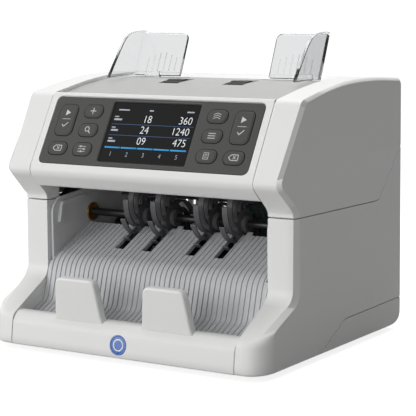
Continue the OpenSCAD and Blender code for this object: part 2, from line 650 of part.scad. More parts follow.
// One board each side of the display, with a switch below each key.
module keypad_board() color([0.1, 0.32, 0.2]) on_panel() {
  for (x = [-69, 69]) difference() {
    translate([x - 24, 12, -9.4]) cube([48, 49, 1.6]);
    translate([x, 30, -12]) cylinder(h = 8, r = 1.6);
  }
  for (c = concat(small_keys, large_keys)) translate([c[0], c[1], -8]) cylinder(h = 1.0, r = 2.6);
}
// Key cap with a retaining flange and a stem over its switch.
module key(centre, size) color([0.28, 0.28, 0.27])
  on_panel() translate([centre[0], centre[1], 0]) {
    translate([0, 0, -2.8]) rounded_slab(size, 2.6 + key_rise, 4.7);
    translate([0, 0, -3.8]) rounded_slab(size + [1.6, 1.6], 1.1, 5);
    translate([0, 0, -5.4]) cylinder(h = 2, r = 2.2);
  }
module key_clear_left() key(small_keys[0], small_key_size);
module key_add() key(small_keys[1], small_key_size);
module key_detect() key(small_keys[2], small_key_size);
module key_mode() key(small_keys[3], small_key_size);
module key_batch() key(small_keys[4], small_key_size);
module key_menu() key(small_keys[5], small_key_size);
module key_report() key(small_keys[6], small_key_size);
module key_clear_right() key(small_keys[7], small_key_size);
module key_start_left() key(large_keys[0], large_key_size);
module key_start_right() key(large_keys[1], large_key_size);

// ---- hopper -------------------------------------------------------------
gear_teeth = 16;              // involute pinion, module 1
gear_radius = gear_teeth / 2; // pitch circle
base_radius = gear_radius * cos(20);
tip_radius = 8.9;
root_radius = 6.7;
rack_thick = 4;               // height of the racks and face width of the pinion
pinion_y = 160;
pinion_z = 193;
post_radius = 3;              // pinion post
arm_x = 64;                   // inner side and width of the guide arms
arm_width = 14;
guide_x = 88;                 // outer face of the guides
guide_width = 46;

// Upper face of the hopper plate, (y, z) from the panel crest to the rear.
hopper_path = rounded([[64.3, 192.2], [99.2, 198.7], [126.1, 202.0], [140, 202.6],
  [156.9, 202.9]], [0, 10, 6, 4, 0], 5);
module hopper_plate() color([0.64, 0.64, 0.64]) difference() {
  union() {
    sweep_x(-mid_x, mid_x) polygon(strip(hopper_path, -wall));
    // rails that carry the racks and the pinion post
    for (x = [-50, 50]) slice_at(x, 6) polygon([[143.4, 200.6], [143.4, 190.4], [176.6, 190.4],
      [176.6, 199.6], [174.6, 199.6], [174.6, 192.4], [145.4, 192.4], [145.4, 200.6]]);
    slice_at(0, 16) polygon([[141, 200.6], [141, 188.4], [166, 188.4], [166, 190.4],
      [143.4, 190.4], [143.4, 200.6]]);
    translate([0, pinion_y, 188.5]) cylinder(h = 9.5, r = post_radius);
  }
  // openings for the pickup rollers and the guide arms
  for (x = pickup_x) translate([x - 9.2, 115.5, 195]) cube([18.4, 27, 12]);
  both() translate([34, 152.4, 195]) cube([58, 3.6, 12]);
  for (i = [-3 : 3]) translate([i * 24 - 1, 70, 190]) cube([2, 40, 1.5]);
}
// Straight rack teeth along +X; the pitch line lies on y = 0, teeth towards +Y.
module rack_teeth(first, last) {
  linear_extrude(rack_thick) for (i = [first : last]) translate([(i + 0.5) * PI, 0])
    polygon([[-1.2, -1.2], [-1.13, -1.15], [-0.36, 0.9], [0.36, 0.9], [1.13, -1.15], [1.2, -1.2]]);
}
// Each rack is a bar with teeth and a lug below its guide arm.
module left_rack() color([0.5, 0.5, 0.52]) translate([0, 0, pinion_z]) {
  translate([-84, pinion_y - 13, 0]) cube([98, 4, rack_thick]);
  translate([0, pinion_y - gear_radius, 0]) rack_teeth(-10, 3);
  translate([-arm_x - arm_width, pinion_y - 13, 0]) cube([arm_width, 8.8, rack_thick]);
}
module right_rack() color([0.5, 0.5, 0.52]) translate([0, 0, pinion_z]) {
  translate([-14, pinion_y + 9, 0]) cube([98, 4, rack_thick]);
  translate([0, pinion_y + gear_radius, 0]) mirror([0, 1, 0]) rack_teeth(-4, 9);
  translate([arm_x, pinion_y - 7.4, 0]) cube([arm_width, 20, rack_thick]);
}
function involute(radius) = let (a = acos(base_radius / radius)) tan(a) * 180 / PI - a;
// Half angle of a tooth on the base circle, thinned for backlash.
tooth_angle = 90 / gear_teeth - 0.9 + involute(gear_radius);
function root_point(side) = root_radius * [cos(side * tooth_angle), sin(side * tooth_angle)];
function flank_point(i, side) = let (
  radius = base_radius + (tip_radius - base_radius) * i / 5,
  angle = side * (tooth_angle - involute(radius)))
  radius * [cos(angle), sin(angle)];
gear_tooth = concat([root_point(-1)], [for (i = [0 : 5]) flank_point(i, -1)],
  [for (i = [5 : -1 : 0]) flank_point(i, 1)], [root_point(1)]);
module guide_pinion() color([0.85, 0.85, 0.82])
  translate([0, pinion_y, pinion_z]) difference() {
    union() {
      linear_extrude(rack_thick) {
        circle(r = 6.9, $fn = 64);
        for (k = [0 : gear_teeth - 1]) rotate(k * 360 / gear_teeth) polygon(gear_tooth);
      }
      translate([0, 0, 3.9]) cylinder(h = 1.1, r = 5);
    }
    translate([0, 0, -1]) cylinder(h = 8, r = post_radius + running_gap);
  }
// Clear L-shaped note guide: side flange, leaning back wall and arm.
module guide() {
  flange_top = 203.6 + guide_height;
  flange_front = 203.2 + guide_height;
  sweep_x(guide_x - guide_thickness, guide_x) polygon(rounded([[112.5, 203.9], [149, 204.4],
    [153.2, 206], [153.2 + guide_height * 0.42, flange_top], [150, flange_top - 0.5],
    [140, flange_front - 3], [133.5, flange_front - 9]], [1, 0, 2, 4, 8, 6, 4], 5, true));
  translate([0, 150.2, 204.8]) rotate([-23, 0, 0]) difference() {
    translate([guide_x - guide_width, 0, 0]) rotate([90, 0, 0])
      translate([0, 0, -guide_thickness]) linear_extrude(guide_thickness)
        polygon(rounded([[0, 0], [guide_width, 0], [guide_width, guide_height],
          [0, guide_height]], [1, 0, 3, 6], 6, true));
    // upright grooves in the rear face
    for (i = [0 : 5]) translate([49 + i * 5.5, guide_thickness - 0.5, 4])
      cube([0.8, 2, 17 - abs(i - 2.5) * 2]);
  }
  difference() {
    translate([arm_x, 152.7, pinion_z + 4]) cube([arm_width, 3, 10.2]);
    translate([68, 150, pinion_z + 3]) cube([6, 8, 2]);
  }
}
module right_guide() color([0.8, 0.85, 0.88, 0.4]) guide();
module left_guide() color([0.8, 0.85, 0.88, 0.4]) mirror([1, 0, 0]) guide();

translate([0, -depth / 2, 0]) {
  base_pan();
  lower_left_cover();
  lower_right_cover();
  front_tray();
  badge();
  stacker_plate();
  rear_cover();
  left_frame();
  right_frame();
  feet();
  rear_screws();
  inlet_module();
  power_rocker();
  data_ports();
  main_board();
  power_supply();
  motor_body();
  motor_pulley();
  feed_belt();
  pickup_belt();
  stacker_belt();
  shaft_bushes();
  sensor_bars();
  note_guides();
  tie_rods();
  hinge_pins();
  feed_shaft();
  feed_rollers();
  feed_pulleys();
  pickup_shaft();
  pickup_rollers();
  pickup_pulley();
  stacker_shaft();
  stacker_wheels();
  stacker_pulley();
  upper_left_cover();
  upper_right_cover();
  top_cover();
  control_cover();
  control_bezel();
  display_window();
  display_module();
  keypad_board();
  hopper_plate();
  guide_pinion();
  left_guide();
  left_rack();
  right_guide();
  right_rack();
  key_start_left();
  key_clear_left();
  key_add();
  key_detect();
  key_mode();
  key_batch();
  key_menu();
  key_report();
  key_start_right();
  key_clear_right();
}
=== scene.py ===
# Banknote counting machine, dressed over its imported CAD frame.
# Lengths are millimetres: x runs to the right (0 on the centre line), y runs back from the
# front lip and z runs up from the floor. to_frame() turns them into the frame's metres.
from math import acos, atan2, cos, degrees, hypot, pi, radians, sin

import bmesh
import bpy
from mathutils import Matrix, Vector
from mathutils.geometry import tessellate_polygon


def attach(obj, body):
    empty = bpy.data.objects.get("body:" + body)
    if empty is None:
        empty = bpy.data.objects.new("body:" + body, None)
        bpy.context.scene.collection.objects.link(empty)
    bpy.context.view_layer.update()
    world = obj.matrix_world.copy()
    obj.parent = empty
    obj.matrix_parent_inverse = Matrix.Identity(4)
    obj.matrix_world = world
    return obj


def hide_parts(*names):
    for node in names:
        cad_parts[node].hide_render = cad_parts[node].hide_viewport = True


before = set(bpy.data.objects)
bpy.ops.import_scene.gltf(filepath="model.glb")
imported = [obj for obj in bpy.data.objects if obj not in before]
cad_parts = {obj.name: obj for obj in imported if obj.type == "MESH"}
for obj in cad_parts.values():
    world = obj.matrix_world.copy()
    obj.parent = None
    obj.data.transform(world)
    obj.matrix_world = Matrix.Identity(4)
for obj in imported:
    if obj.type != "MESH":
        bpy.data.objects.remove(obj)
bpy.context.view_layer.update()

# ---------------------------------------------------------- driving dimensions
ORIGIN_Y = 112.0        # y of the frame's origin
HALF_WIDTH = 124.0      # outer face of the side covers
COVER_X = 101.2         # inner edge of the side covers
MIDDLE_X = 100.8        # half width of the parts between the side covers
WALL = 2.5
BASE_Z = 4.0            # underside of the housing
FLOOR_Z = BASE_Z + WALL
BACK_Y = 221.5
# Points and axes in the side plane, as (y, z)
PANEL_FRONT, PANEL_BACK = (26.1, 135.7), (60.5, 194.8)
PANEL_TILT = pi / 2 - atan2(PANEL_BACK[0] - PANEL_FRONT[0], PANEL_BACK[1] - PANEL_FRONT[1])
HINGE, MOTOR = (BACK_Y - 1, 150), (184, 46)
STACKER, FEED, PICKUP = (104, 95), (150, 140), (130, 190.8)
TIE_RODS = ((75, 20), (204, 16), (196, 112))
PIN_Y, PIN_Z = 160, 193
FEET = [(x, y) for x in (-92, 92) for y in (32, 198)]       # (x, y)
SCREWS = [(x, z) for x in (-92, 92) for z in (34, 134)]     # (x, z)


def to_frame(point):
    return (point[0] / 1000.0, (point[1] - ORIGIN_Y) / 1000.0, point[2] / 1000.0)


# ------------------------------------------------------------------ 2D outlines
def soft(table, steps=8, closed=False):
    """Rounds corners. A row is a point and then how far from it the curve starts."""
    out = []
    last = len(table) - 1
    for i, (*corner, cut) in enumerate(table):
        if cut <= 0 or (not closed and i in (0, last)):
            out.append(tuple(corner))
            continue
        ends = []
        for other in (table[i - 1], table[(i + 1) % len(table)]):
            share = min(0.48, cut / hypot(other[0] - corner[0], other[1] - corner[1]))
            ends.append([q + (p - q) * share for p, q in zip(other, corner)])
        for k in range(steps + 1):
            t = k / steps
            out.append(tuple(a * (1 - t) ** 2 + b * 2 * t * (1 - t) + c * t * t
                             for a, b, c in zip(ends[0], corner, ends[1])))
    return out


def heading(start, end):
    x, y = end[0] - start[0], end[1] - start[1]
    length = hypot(x, y) or 1e-9
    return (x / length, y / length)


def mitred(point, before, after, gap, least=0):
    """Point moved to the left of its two headings by gap."""
    k = max(least, 1 + before[0] * after[0] + before[1] * after[1])
    return (point[0] - gap * (before[1] + after[1]) / k,
            point[1] + gap * (before[0] + after[0]) / k)


def shifted(path, gap):
    """Moves an open path to its left."""
    out = []
    for i, point in enumerate(path):
        before = heading(path[i - 1], point) if i else None
        after = heading(point, path[i + 1]) if i < len(path) - 1 else before
        out.append(mitred(point, before or after, after, gap))
    return out


def inset(loop, gap):
    """Moves a closed outline to its left."""
    if abs(gap) < 1e-9:
        return list(loop)
    return [mitred(point, heading(loop[i - 1], point),
                   heading(point, loop[(i + 1) % len(loop)]), gap, 0.35)
            for i, point in enumerate(loop)]


def wall_line(table, wall, steps):
    """Closed section of a wall along an open softened path of (y, z, cut)."""
    other = [(*point, max(0.01, row[2] - abs(wall)))
             for point, row in zip(shifted(table, wall), table)]
    return soft(table, steps) + soft(other, steps)[::-1]


def densify(path, step):
    out = [path[0]]
    for a, b in zip(path, path[1:]):
        n = max(1, int(hypot(b[0] - a[0], b[1] - a[1]) / step))
        out += [(a[0] + (b[0] - a[0]) * k / n, a[1] + (b[1] - a[1]) * k / n)
                for k in range(1, n + 1)]
    return out


def add_station(path, y):
    """Inserts a point at y, unless the path already has one there."""
    for i, (a, b) in enumerate(zip(path, path[1:])):
        if a[0] < y - 1e-6 and b[0] > y + 1e-6:
            path.insert(i + 1, (y, a[1] + (y - a[0]) / (b[0] - a[0]) * (b[1] - a[1])))
            return


def area(loop):
    return sum(loop[i - 1][0] * loop[i][1] - loop[i][0] * loop[i - 1][1]
               for i in range(len(loop))) / 2


def clean(loop):
    """Drops points that repeat the one before."""
    def near(a, b):
        return hypot(a[0] - b[0], a[1] - b[1])
    out = []
    for point in loop:
        if not out or near(point, out[-1]) > 1e-3:
            out.append(point)
    while len(out) > 2 and near(out[0], out[-1]) < 1e-3:
        out.pop()
    return out


def rect(width, height, cut, centre=(0, 0), steps=8):
    x, y = centre
    w, h = width / 2, height / 2
    return soft([(x - w, y - h, cut), (x + w, y - h, cut), (x + w, y + h, cut),
                 (x - w, y + h, cut)], steps, True)


def arc_rect(width, height, radius, centre=(0, 0), steps=9):
    """Rectangle with true quarter-circle corners."""
    x, y = centre
    out = []
    for sx, sy, start in ((1, -1, -pi / 2), (1, 1, 0), (-1, 1, pi / 2), (-1, -1, pi)):
        for k in range(steps + 1):
            t = start + pi / 2 * k / steps
            out.append((x + sx * (width / 2 - radius) + radius * cos(t),
                        y + sy * (height / 2 - radius) + radius * sin(t)))
    return out


def circle(centre, radius, sides=48, start=0.0):
    return [(centre[0] + radius * cos(start + 2 * pi * k / sides),
             centre[1] + radius * sin(start + 2 * pi * k / sides)) for k in range(sides)]


def slot_line(centre, width, height, steps=10):
    """Upright slot with round ends."""
    r = width / 2
    return [(centre[0] + s * r * cos(pi * k / steps),
             centre[1] + s * (height / 2 - r) + s * r * sin(pi * k / steps))
            for s in (1, -1) for k in range(steps + 1)]


def turned(points, centre, angle):
    c, s = cos(angle), sin(angle)
    return [(centre[0] + c * u - s * v, centre[1] + s * u + c * v) for u, v in points]


def both_ends(half, start, end):
    """Lathe profile from (inset, radius) rows measured in from each of its ends."""
    return [(start + s, r) for s, r in half] + [(end - s, r) for s, r in half[::-1]]


def span(side, near, far):
    return sorted((side * near, side * far))


# ----------------------- maps from outline (u, v) and height w to (x, y, z)
def along_x(u, v, w):
    return (w, u, v)


def along_y(u, v, w):
    return (v, w, u)


def along_z(u, v, w):
    return (u, v, w)


def back_from(y):
    """The outline is (x, z); its height runs back from y."""
    return lambda u, v, w: (u, y + w, v)


def tilted(origin, angle):
    """Turns (x, y, z) by angle in the side plane and moves it to origin (y, z)."""
    c, s = cos(angle), sin(angle)
    return lambda x, y, z: (x, origin[0] + y * c - z * s, origin[1] + y * s + z * c)


on_panel = tilted(PANEL_FRONT, PANEL_TILT)
on_badge = tilted((1.25, 14.2), radians(82))


# ---------------------------------------------------------------- solid builder
def band(lower, upper):
    """Faces between two rows of point numbers; a repeated number makes a triangle."""
    n = len(lower)
    quads = [(lower[i], lower[(i + 1) % n], upper[(i + 1) % n], upper[i]) for i in range(n)]
    faces = [tuple(dict.fromkeys(quad)) for quad in quads]
    return [face for face in faces if len(face) > 2]


class Solid:
    """Collects closed shapes; paint is the number of a material slot."""

    def __init__(self):
        self.verts, self.faces, self.paints = [], [], []

    def add(self, verts, faces, paint=0):
        first = len(self.verts)
        self.verts += [tuple(p) for p in verts]
        self.faces += [tuple(i + first for i in face) for face in faces]
        self.paints += [paint] * len(faces)
        return self

    def plate(self, outline, low, high, place, rim=0.4, low_rim=None, steps=3, paint=0,
              holes=(), hole_rims=None):
        """Plate from low to high with rounded rims; hole_rims are (high, low) pairs."""
        loops = [clean(outline)] + [clean(hole) for hole in holes]
        loops = [p if (area(p) > 0) == (i == 0) else p[::-1] for i, p in enumerate(loops)]
        rims = [(rim, rim if low_rim is None else low_rim)]
        rims += hole_rims or rims * len(holes)
        turns = [pi / 2 * k / steps for k in range(steps + 1)]
        ends, verts, faces = [], [], []
        for loop, (top, base) in zip(loops, rims):
            levels = [(0, low)]
            if base > 0:
                levels = [(base * (1 - sin(t)), low + base * (1 - cos(t))) for t in turns]
            if top > 0:
                levels += [(top * (1 - cos(t)), high - top * (1 - sin(t))) for t in turns]
            else:
                levels.append((0, high))
            rows = []
            for gap, w in levels:
                rows.append(range(len(verts), len(verts) + len(loop)))
                verts += [(u, v, w) for u, v in inset(loop, gap)]
            for lower, upper in zip(rows, rows[1:]):
                faces += band(lower, upper)
            ends.append((rows[0], rows[-1]))
        for side in (0, 1):
            ids = [i for pair in ends for i in pair[side]]
            triangles = tessellate_polygon(
                [[Vector((verts[i][0], verts[i][1], 0)) for i in pair[side]] for pair in ends])
            faces += [tuple(ids[k] for k in (t if side else t[::-1])) for t in triangles]
        return self.add([place(*p) for p in verts], faces, paint)

    def slab(self, outline, x, half, rim, steps=1, **rest):
        """Plate with a (y, z) outline, centred on x."""
        return self.plate(outline, x - half, x + half, along_x, rim, steps=steps, **rest)

    def lathe(self, profile, centre, sides=64, place=along_x, paint=0, closed=False):
        """Turns (along, radius) points about an axis; closed makes a bored part."""
        verts, rows, faces = [], [], []
        for s, r in profile:
            if r < 1e-6:
                rows.append([len(verts)] * sides)
                verts.append(place(*centre, s))
            else:
                rows.append(range(len(verts), len(verts) + sides))
                verts += [place(*point, s) for point in circle(centre, r, sides)]
        for lower, upper in zip(rows, rows[1:] + rows[:1] if closed else rows[1:]):
            faces += band(lower, upper)
        return self.add(verts, faces, paint)

    def bush(self, centre, radius, bore, start, end, cut=0.4, sides=48, place=along_x):
        """Cylinder with eased ends; it is solid when bore is 0."""
        half = [(0, bore), (0, radius - cut), (cut * 0.3, radius - cut * 0.3), (cut, radius)]
        return self.lathe(both_ends(half, start, end), centre, sides, place, closed=bore > 0)

    def rod(self, centre, radius, start, end, cut=0.3, sides=48, place=along_x):
        return self.bush(centre, radius, 0, start, end, cut, sides, place)

    def block(self, low, high, rim=0.4, paint=0, steps=2):
        (x0, y0, z0), (x1, y1, z1) = low, high
        if min(z1 - z0, x1 - x0, y1 - y0) > 2.1 * rim:
            outline = [(x0, y0), (x1, y0), (x1, y1), (x0, y1)]
        else:
            outline = rect(x1 - x0, y1 - y0, 0.02, ((x0 + x1) / 2, (y0 + y1) / 2), 1)
            rim, steps = 0.05, 1
        return self.plate(outline, z0, z1, along_z, rim, steps=steps, paint=paint)

    def grid(self, top, bottom, present):
        """Sheet between two grids of points; present(i, j) says which cells exist."""
        rows, cols = len(top), len(top[0])

        def upper(i, j):
            return i * cols + j

        def lower(i, j):
            return rows * cols + upper(i, j)

        def there(i, j):
            return 0 <= i < rows - 1 and 0 <= j < cols - 1 and present(i, j)
        faces = []
        for i in range(rows - 1):
            for j in range(cols - 1):
                if not there(i, j):
                    continue
                a, b, c, d = (i, j), (i + 1, j), (i + 1, j + 1), (i, j + 1)
                faces.append((upper(*a), upper(*b), upper(*c), upper(*d)))
                faces.append((lower(*a), lower(*d), lower(*c), lower(*b)))
                for di, dj, p, q in ((-1, 0, a, d), (1, 0, c, b), (0, -1, b, a), (0, 1, d, c)):
                    if not there(i + di, j + dj):
                        faces.append((upper(*p), upper(*q), lower(*q), lower(*p)))
        return self.add([p for sheet in (top, bottom) for row in sheet for p in row], faces)

    def mesh(self, name="part"):
        mesh = bpy.data.meshes.new(name)
        mesh.from_pydata([to_frame(p) for p in self.verts], [], self.faces)
        mesh.polygons.foreach_set("material_index", self.paints)
        shape = bmesh.new()
        shape.from_mesh(mesh)
        bmesh.ops.remove_doubles(shape, verts=shape.verts, dist=1e-6)
        loose = [v for v in shape.verts if not v.link_faces]
        bmesh.ops.delete(shape, geom=loose, context="VERTS")
        bmesh.ops.recalc_face_normals(shape, faces=shape.faces)
        shape.to_mesh(mesh)
        shape.free()
        return mesh


def prism(table, start, end, steps=6):
    """Sharp-rimmed cutter across x from rows of (y, z, cut)."""
    return Solid().plate(soft(table, steps, True), start, end, along_x, 0)


def drill(centre, radius, start, end, place=along_x):
    return Solid().lathe([(start, 0), (start, radius), (end, radius), (end, 0)],
                         centre, 48, place)


def combined(shape, others, operation="DIFFERENCE"):
    """Boolean of a solid or mesh with solids, as a new mesh."""
    mesh = shape.mesh() if isinstance(shape, Solid) else shape
    base = bpy.data.objects.new("tmp_base", mesh)
    bpy.context.scene.collection.objects.link(base)
    made = [base]
    for other in others:
        tool = bpy.data.objects.new("tmp_tool", other.mesh())
        bpy.context.scene.collection.objects.link(tool)
        boolean = base.modifiers.new("boolean", "BOOLEAN")
        boolean.operation, boolean.solver, boolean.object = operation, "EXACT", tool
        made.append(tool)
    graph = bpy.context.evaluated_depsgraph_get()
    out = bpy.data.meshes.new_from_object(base.evaluated_get(graph))
    for item in made[::-1]:
        bpy.data.objects.remove(item)
    return out


def joined(*parts, mirrored=False, collapse=0):
    """One mesh of several parts as they stand; collapse is in metres."""
    shape = bmesh.new()
    for part in parts:
        shape.from_mesh(part.mesh() if isinstance(part, Solid) else part)
    if mirrored:
        bmesh.ops.transform(shape, matrix=Matrix.Scale(-1, 4, (1, 0, 0)), verts=shape.verts)
        bmesh.ops.reverse_faces(shape, faces=shape.faces)
    if collapse:
        bmesh.ops.dissolve_degenerate(shape, dist=collapse, edges=shape.edges)
    out = bpy.data.meshes.new("joined")
    shape.to_mesh(out)
    shape.free()
    return out


def crease_outer_side(mesh):
    """Sharp edges where a cover's chamfer meets its flat outer side."""
    shape = bmesh.new()
    shape.from_mesh(mesh)
    for edge in shape.edges:
        on_side = all(abs(abs(v.co.x) * 1000 - HALF_WIDTH) < 0.02 for v in edge.verts)
        if len(edge.link_faces) == 2 and on_side and edge.calc_face_angle(0) > radians(5):
            edge.smooth = False
    shape.to_mesh(mesh)
    shape.free()


def bevel_edges(item, width, angle, steps=2):
    bevel = item.modifiers.new("edge", "BEVEL")
    bevel.width, bevel.segments = width / 1000, steps
    bevel.limit_method, bevel.angle_limit = "ANGLE", radians(angle)
    bevel.use_clamp_overlap = True
    return bevel


def piece(name, shape, materials, body, replaced, sharp=40, bevel=0.0, bevel_steps=2,
          cutters=(), weighted=True, outer_crease=False):
    """Makes the object; sharp is the angle in degrees above which an edge stays crisp."""
    mesh = shape.mesh(name) if isinstance(shape, Solid) else shape
    if cutters:
        mesh = combined(mesh, cutters)
    mesh.name = name
    paints = [min(face.material_index, len(materials) - 1) for face in mesh.polygons]
    mesh.materials.clear()
    for finish in materials:
        mesh.materials.append(finish)
    mesh.polygons.foreach_set("material_index", paints)
    item = bpy.data.objects.new(name, mesh)
    bpy.context.scene.collection.objects.link(item)
    mesh.polygons.foreach_set("use_smooth", [True] * len(mesh.polygons))
    mesh.set_sharp_from_angle(angle=radians(sharp))
    if outer_crease:
        crease_outer_side(mesh)
    if bevel:
        bevel_edges(item, bevel, sharp, bevel_steps).miter_outer = "MITER_ARC"
    if weighted:
        item.modifiers.new("normals", "WEIGHTED_NORMAL").keep_sharp = not bevel
    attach(item, body)
    if replaced:
        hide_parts(replaced)


# -------------------------------------------------------------------- materials
def new_tree(owner):
    owner.use_nodes = True
    owner.node_tree.nodes.clear()
    return owner.node_tree


def add_node(tree, kind, inputs=None, **settings):
    """Adds a node and returns its outputs; an input is a value or a socket to link."""
    node = tree.nodes.new("ShaderNode" + kind)
    for key, value in settings.items():
        setattr(node, key, value)
    for key, value in (inputs or {}).items():
        if isinstance(value, bpy.types.NodeSocket):
            tree.links.new(value, node.inputs[key])
        else:
            node.inputs[key].default_value = value
    return node.outputs


def remap(tree, value, low, high, source=(0, 1)):
    return add_node(tree, "MapRange", {0: value, "From Min": source[0], "From Max": source[1],
                                       "To Min": low, "To Max": high})[0]


def linear(colour):
    """Linear values of a 0-255 display colour."""
    return [((c / 255 + 0.055) / 1.055) ** 2.4 if c > 10 else c / 255 / 12.92 for c in colour]


def material(name, colour, rough, metal=0.0, spec=0.5, vary=0.04, rough_vary=0.08, grain=0.05,
             grain_scale=2400, blotch=18, wear=None, wear_amount=0.35, painted_crevice_shade=0.0, coat=0.0,
             sheen=0.0, glow=0.0, brushed=False):
    """Blotchy colour, grained bump, uneven roughness and rubbed edges.

    vary and rough_vary spread colour and roughness; grain and blotch are the fine bump and
    the scale of the patches; wear colours raised edges, and the crevice amount is painted
    shade that darkens hollows through an ambient-occlusion mask.
    """
    made = bpy.data.materials.new(name)
    tree = new_tree(made)
    coords = add_node(tree, "TexCoord")["Object"]
    mapped = add_node(tree, "Mapping", {0: coords, "Scale": (0.03 if brushed else 1, 1, 1)})[0]
    patches = add_node(tree, "TexNoise", {"Scale": blotch, "Detail": 5, "Roughness": 0.6,
                                          "Vector": coords})[0]
    fine = add_node(tree, "TexNoise", {"Scale": grain_scale, "Detail": 3, "Vector": mapped})[0]
    base = linear(colour)
    shade = add_node(tree, "Mix", {0: patches,
                                   6: (*[max(0, c * (1 - vary)) for c in base], 1),
                                   7: (*[min(1, c * (1 + vary)) for c in base], 1)},
                     data_type="RGBA")[2]
    if wear:
        raised = add_node(tree, "NewGeometry")["Pointiness"]
        rubbed = remap(tree, raised, 0, wear_amount, source=(0.53, 0.62))
        amount = add_node(tree, "Math", {0: rubbed, 1: patches}, operation="MULTIPLY")[0]
        shade = add_node(tree, "Mix", {0: amount, 6: shade, 7: (*linear(wear), 1)},
                         data_type="RGBA")[2]
    # Painted shade: an ambient-occlusion mask darkens the base colour in hollows and grooves,
    # where shade falls.
    if painted_crevice_shade:
        hollow = add_node(tree, "AmbientOcclusion", {"Distance": 0.012}, samples=4)["AO"]
        painted_hollow_shade = remap(tree, hollow, 1 - painted_crevice_shade, 1)
        shade = add_node(tree, "Mix", {0: 1, 6: shade, 7: painted_hollow_shade},
                         data_type="RGBA", blend_type="MULTIPLY")[2]
    uneven = add_node(tree, "TexNoise", {"Scale": 70, "Detail": 4, "Vector": mapped})[0]
    bump = add_node(tree, "Bump", {"Strength": min(1, grain * 10), "Distance": 0.00008,
                                   "Height": fine})[0]
    inputs = {
        "Base Color": shade, "Metallic": metal, "IOR": 1.47, "Specular IOR Level": spec,
        "Roughness": remap(tree, uneven, max(0.02, rough - rough_vary),
                           min(1, rough + rough_vary)),
        "Normal": bump, "Coat Weight": coat, "Coat Roughness": 0.12, "Sheen Weight": sheen}
    if brushed:
        inputs["Anisotropic"] = 0.5
    if glow:
        inputs.update({"Emission Strength": glow, "Emission Color": shade})
    surface = add_node(tree, "BsdfPrincipled", inputs)[0]
    add_node(tree, "OutputMaterial", {0: surface})
    return made


def clear_plastic():
    """Slightly wavy acrylic that casts only a faint shadow."""
    made = bpy.data.materials.new("clear_acrylic")
    tree = new_tree(made)
    coords = add_node(tree, "TexCoord")["Object"]
    smears = add_node(tree, "TexNoise", {"Scale": 55, "Detail": 4, "Vector": coords})[0]
    rough = remap(tree, smears, 0.02, 0.09)
    waves = add_node(tree, "TexNoise", {"Scale": 30, "Vector": coords})[0]
    bump = add_node(tree, "Bump", {"Strength": 0.25, "Distance": 0.00025, "Height": waves})[0]
    body = add_node(tree, "BsdfPrincipled", {
        "Base Color": (0.74, 0.745, 0.75, 1), "Transmission Weight": 1, "IOR": 1.46,
        "Roughness": rough, "Normal": bump})[0]
    shadow = add_node(tree, "BsdfTransparent", {0: (0.86, 0.87, 0.88, 1)})[0]
    in_shadow = add_node(tree, "LightPath")["Is Shadow Ray"]
    surface = add_node(tree, "MixShader", {0: in_shadow, 1: body, 2: shadow})[0]
    add_node(tree, "OutputMaterial", {0: surface})
    return made


HOUSING = dict(vary=0.012, grain=0.035, grain_scale=1900, rough_vary=0.05,
               wear=(245, 245, 243), wear_amount=0.5, blotch=9)
SHELL_WHITE = material("shell_white", (233, 233, 232), rough=0.42, **HOUSING)
TRAY_WHITE = material("tray_white", (231, 231, 230), rough=0.44, **HOUSING)
# crevice=0.2 paints shade into the grooves of the stacker plate through an ambient-occlusion mask.
STACKER_GREY = material("stacker_plastic", (192, 193, 195), rough=0.38, vary=0.025, grain=0.04,
                        rough_vary=0.07, wear=(232, 232, 232), painted_crevice_shade=0.2, blotch=16)
# crevice=0.3 paints shade into the hollows of the hopper plate through an ambient-occlusion mask.
HOPPER_GREY = material("hopper_plastic", (176, 176, 175), rough=0.4, vary=0.03,
                       rough_vary=0.07, wear=(205, 205, 204), painted_crevice_shade=0.3)
BEZEL = material("bezel_plastic", (70, 70, 68), rough=0.42, grain=0.06, grain_scale=2600,
                 rough_vary=0.05, wear=(112, 112, 110), wear_amount=0.5, blotch=14)
KEY = material("key_rubber", (68, 68, 66), rough=0.5, grain_scale=2600, rough_vary=0.06,
               wear=(106, 106, 104), wear_amount=0.6, blotch=40)
LEGEND = material("legend_ink", (205, 205, 205), rough=0.55, vary=0.05, grain=0.03, blotch=300)
GAP = material("shadow_gap", (20, 20, 20), rough=0.7, vary=0.1)
WINDOW = material("window_glass", (7, 8, 10), rough=0.07, vary=0.1, grain=0, rough_vary=0.02,
                  spec=0.3)
SCREEN = dict(rough=0.5, grain=0, spec=0.1, blotch=500)
READOUT = material("readout_light", (205, 208, 212), vary=0.03, glow=0.5, **SCREEN)
READOUT_DIM = material("readout_dim", (150, 154, 162), vary=0.03, glow=0.5, **SCREEN)
READOUT_LINE = material("readout_line", (62, 84, 118), vary=0.05, glow=0.35, **SCREEN)
READOUT_BLUE = material("readout_blue", (60, 134, 182), vary=0.05, glow=0.4, **SCREEN)
FRAME_BLACK = material("frame_black", (66, 66, 68), rough=0.42, vary=0.08, grain=0.08,
                       rough_vary=0.1, wear=(96, 96, 98), blotch=22)
FRAME_GREY = material("frame_grey", (216, 216, 217), rough=0.4, vary=0.06, grain=0.07,
                      rough_vary=0.1, wear=(205, 205, 206), blotch=22)
RUBBER = material("rubber", (38, 38, 39), rough=0.62, vary=0.12, grain=0.2, grain_scale=1500,
                  spec=0.35, sheen=0.15, blotch=60, wear=(70, 70, 70))
STEEL = material("steel", (190, 191, 194), rough=0.26, metal=1, vary=0.05, grain=0.06,
                 grain_scale=900, brushed=True, blotch=40)
ZINC = material("zinc_sheet", (176, 178, 180), rough=0.38, metal=1, vary=0.1, grain=0.07,
                rough_vary=0.12, blotch=55, wear=(222, 222, 224))
BRONZE = material("bronze", (196, 150, 88), rough=0.34, metal=1, vary=0.12, grain=0.1,
                  grain_scale=1200, rough_vary=0.1, blotch=90)
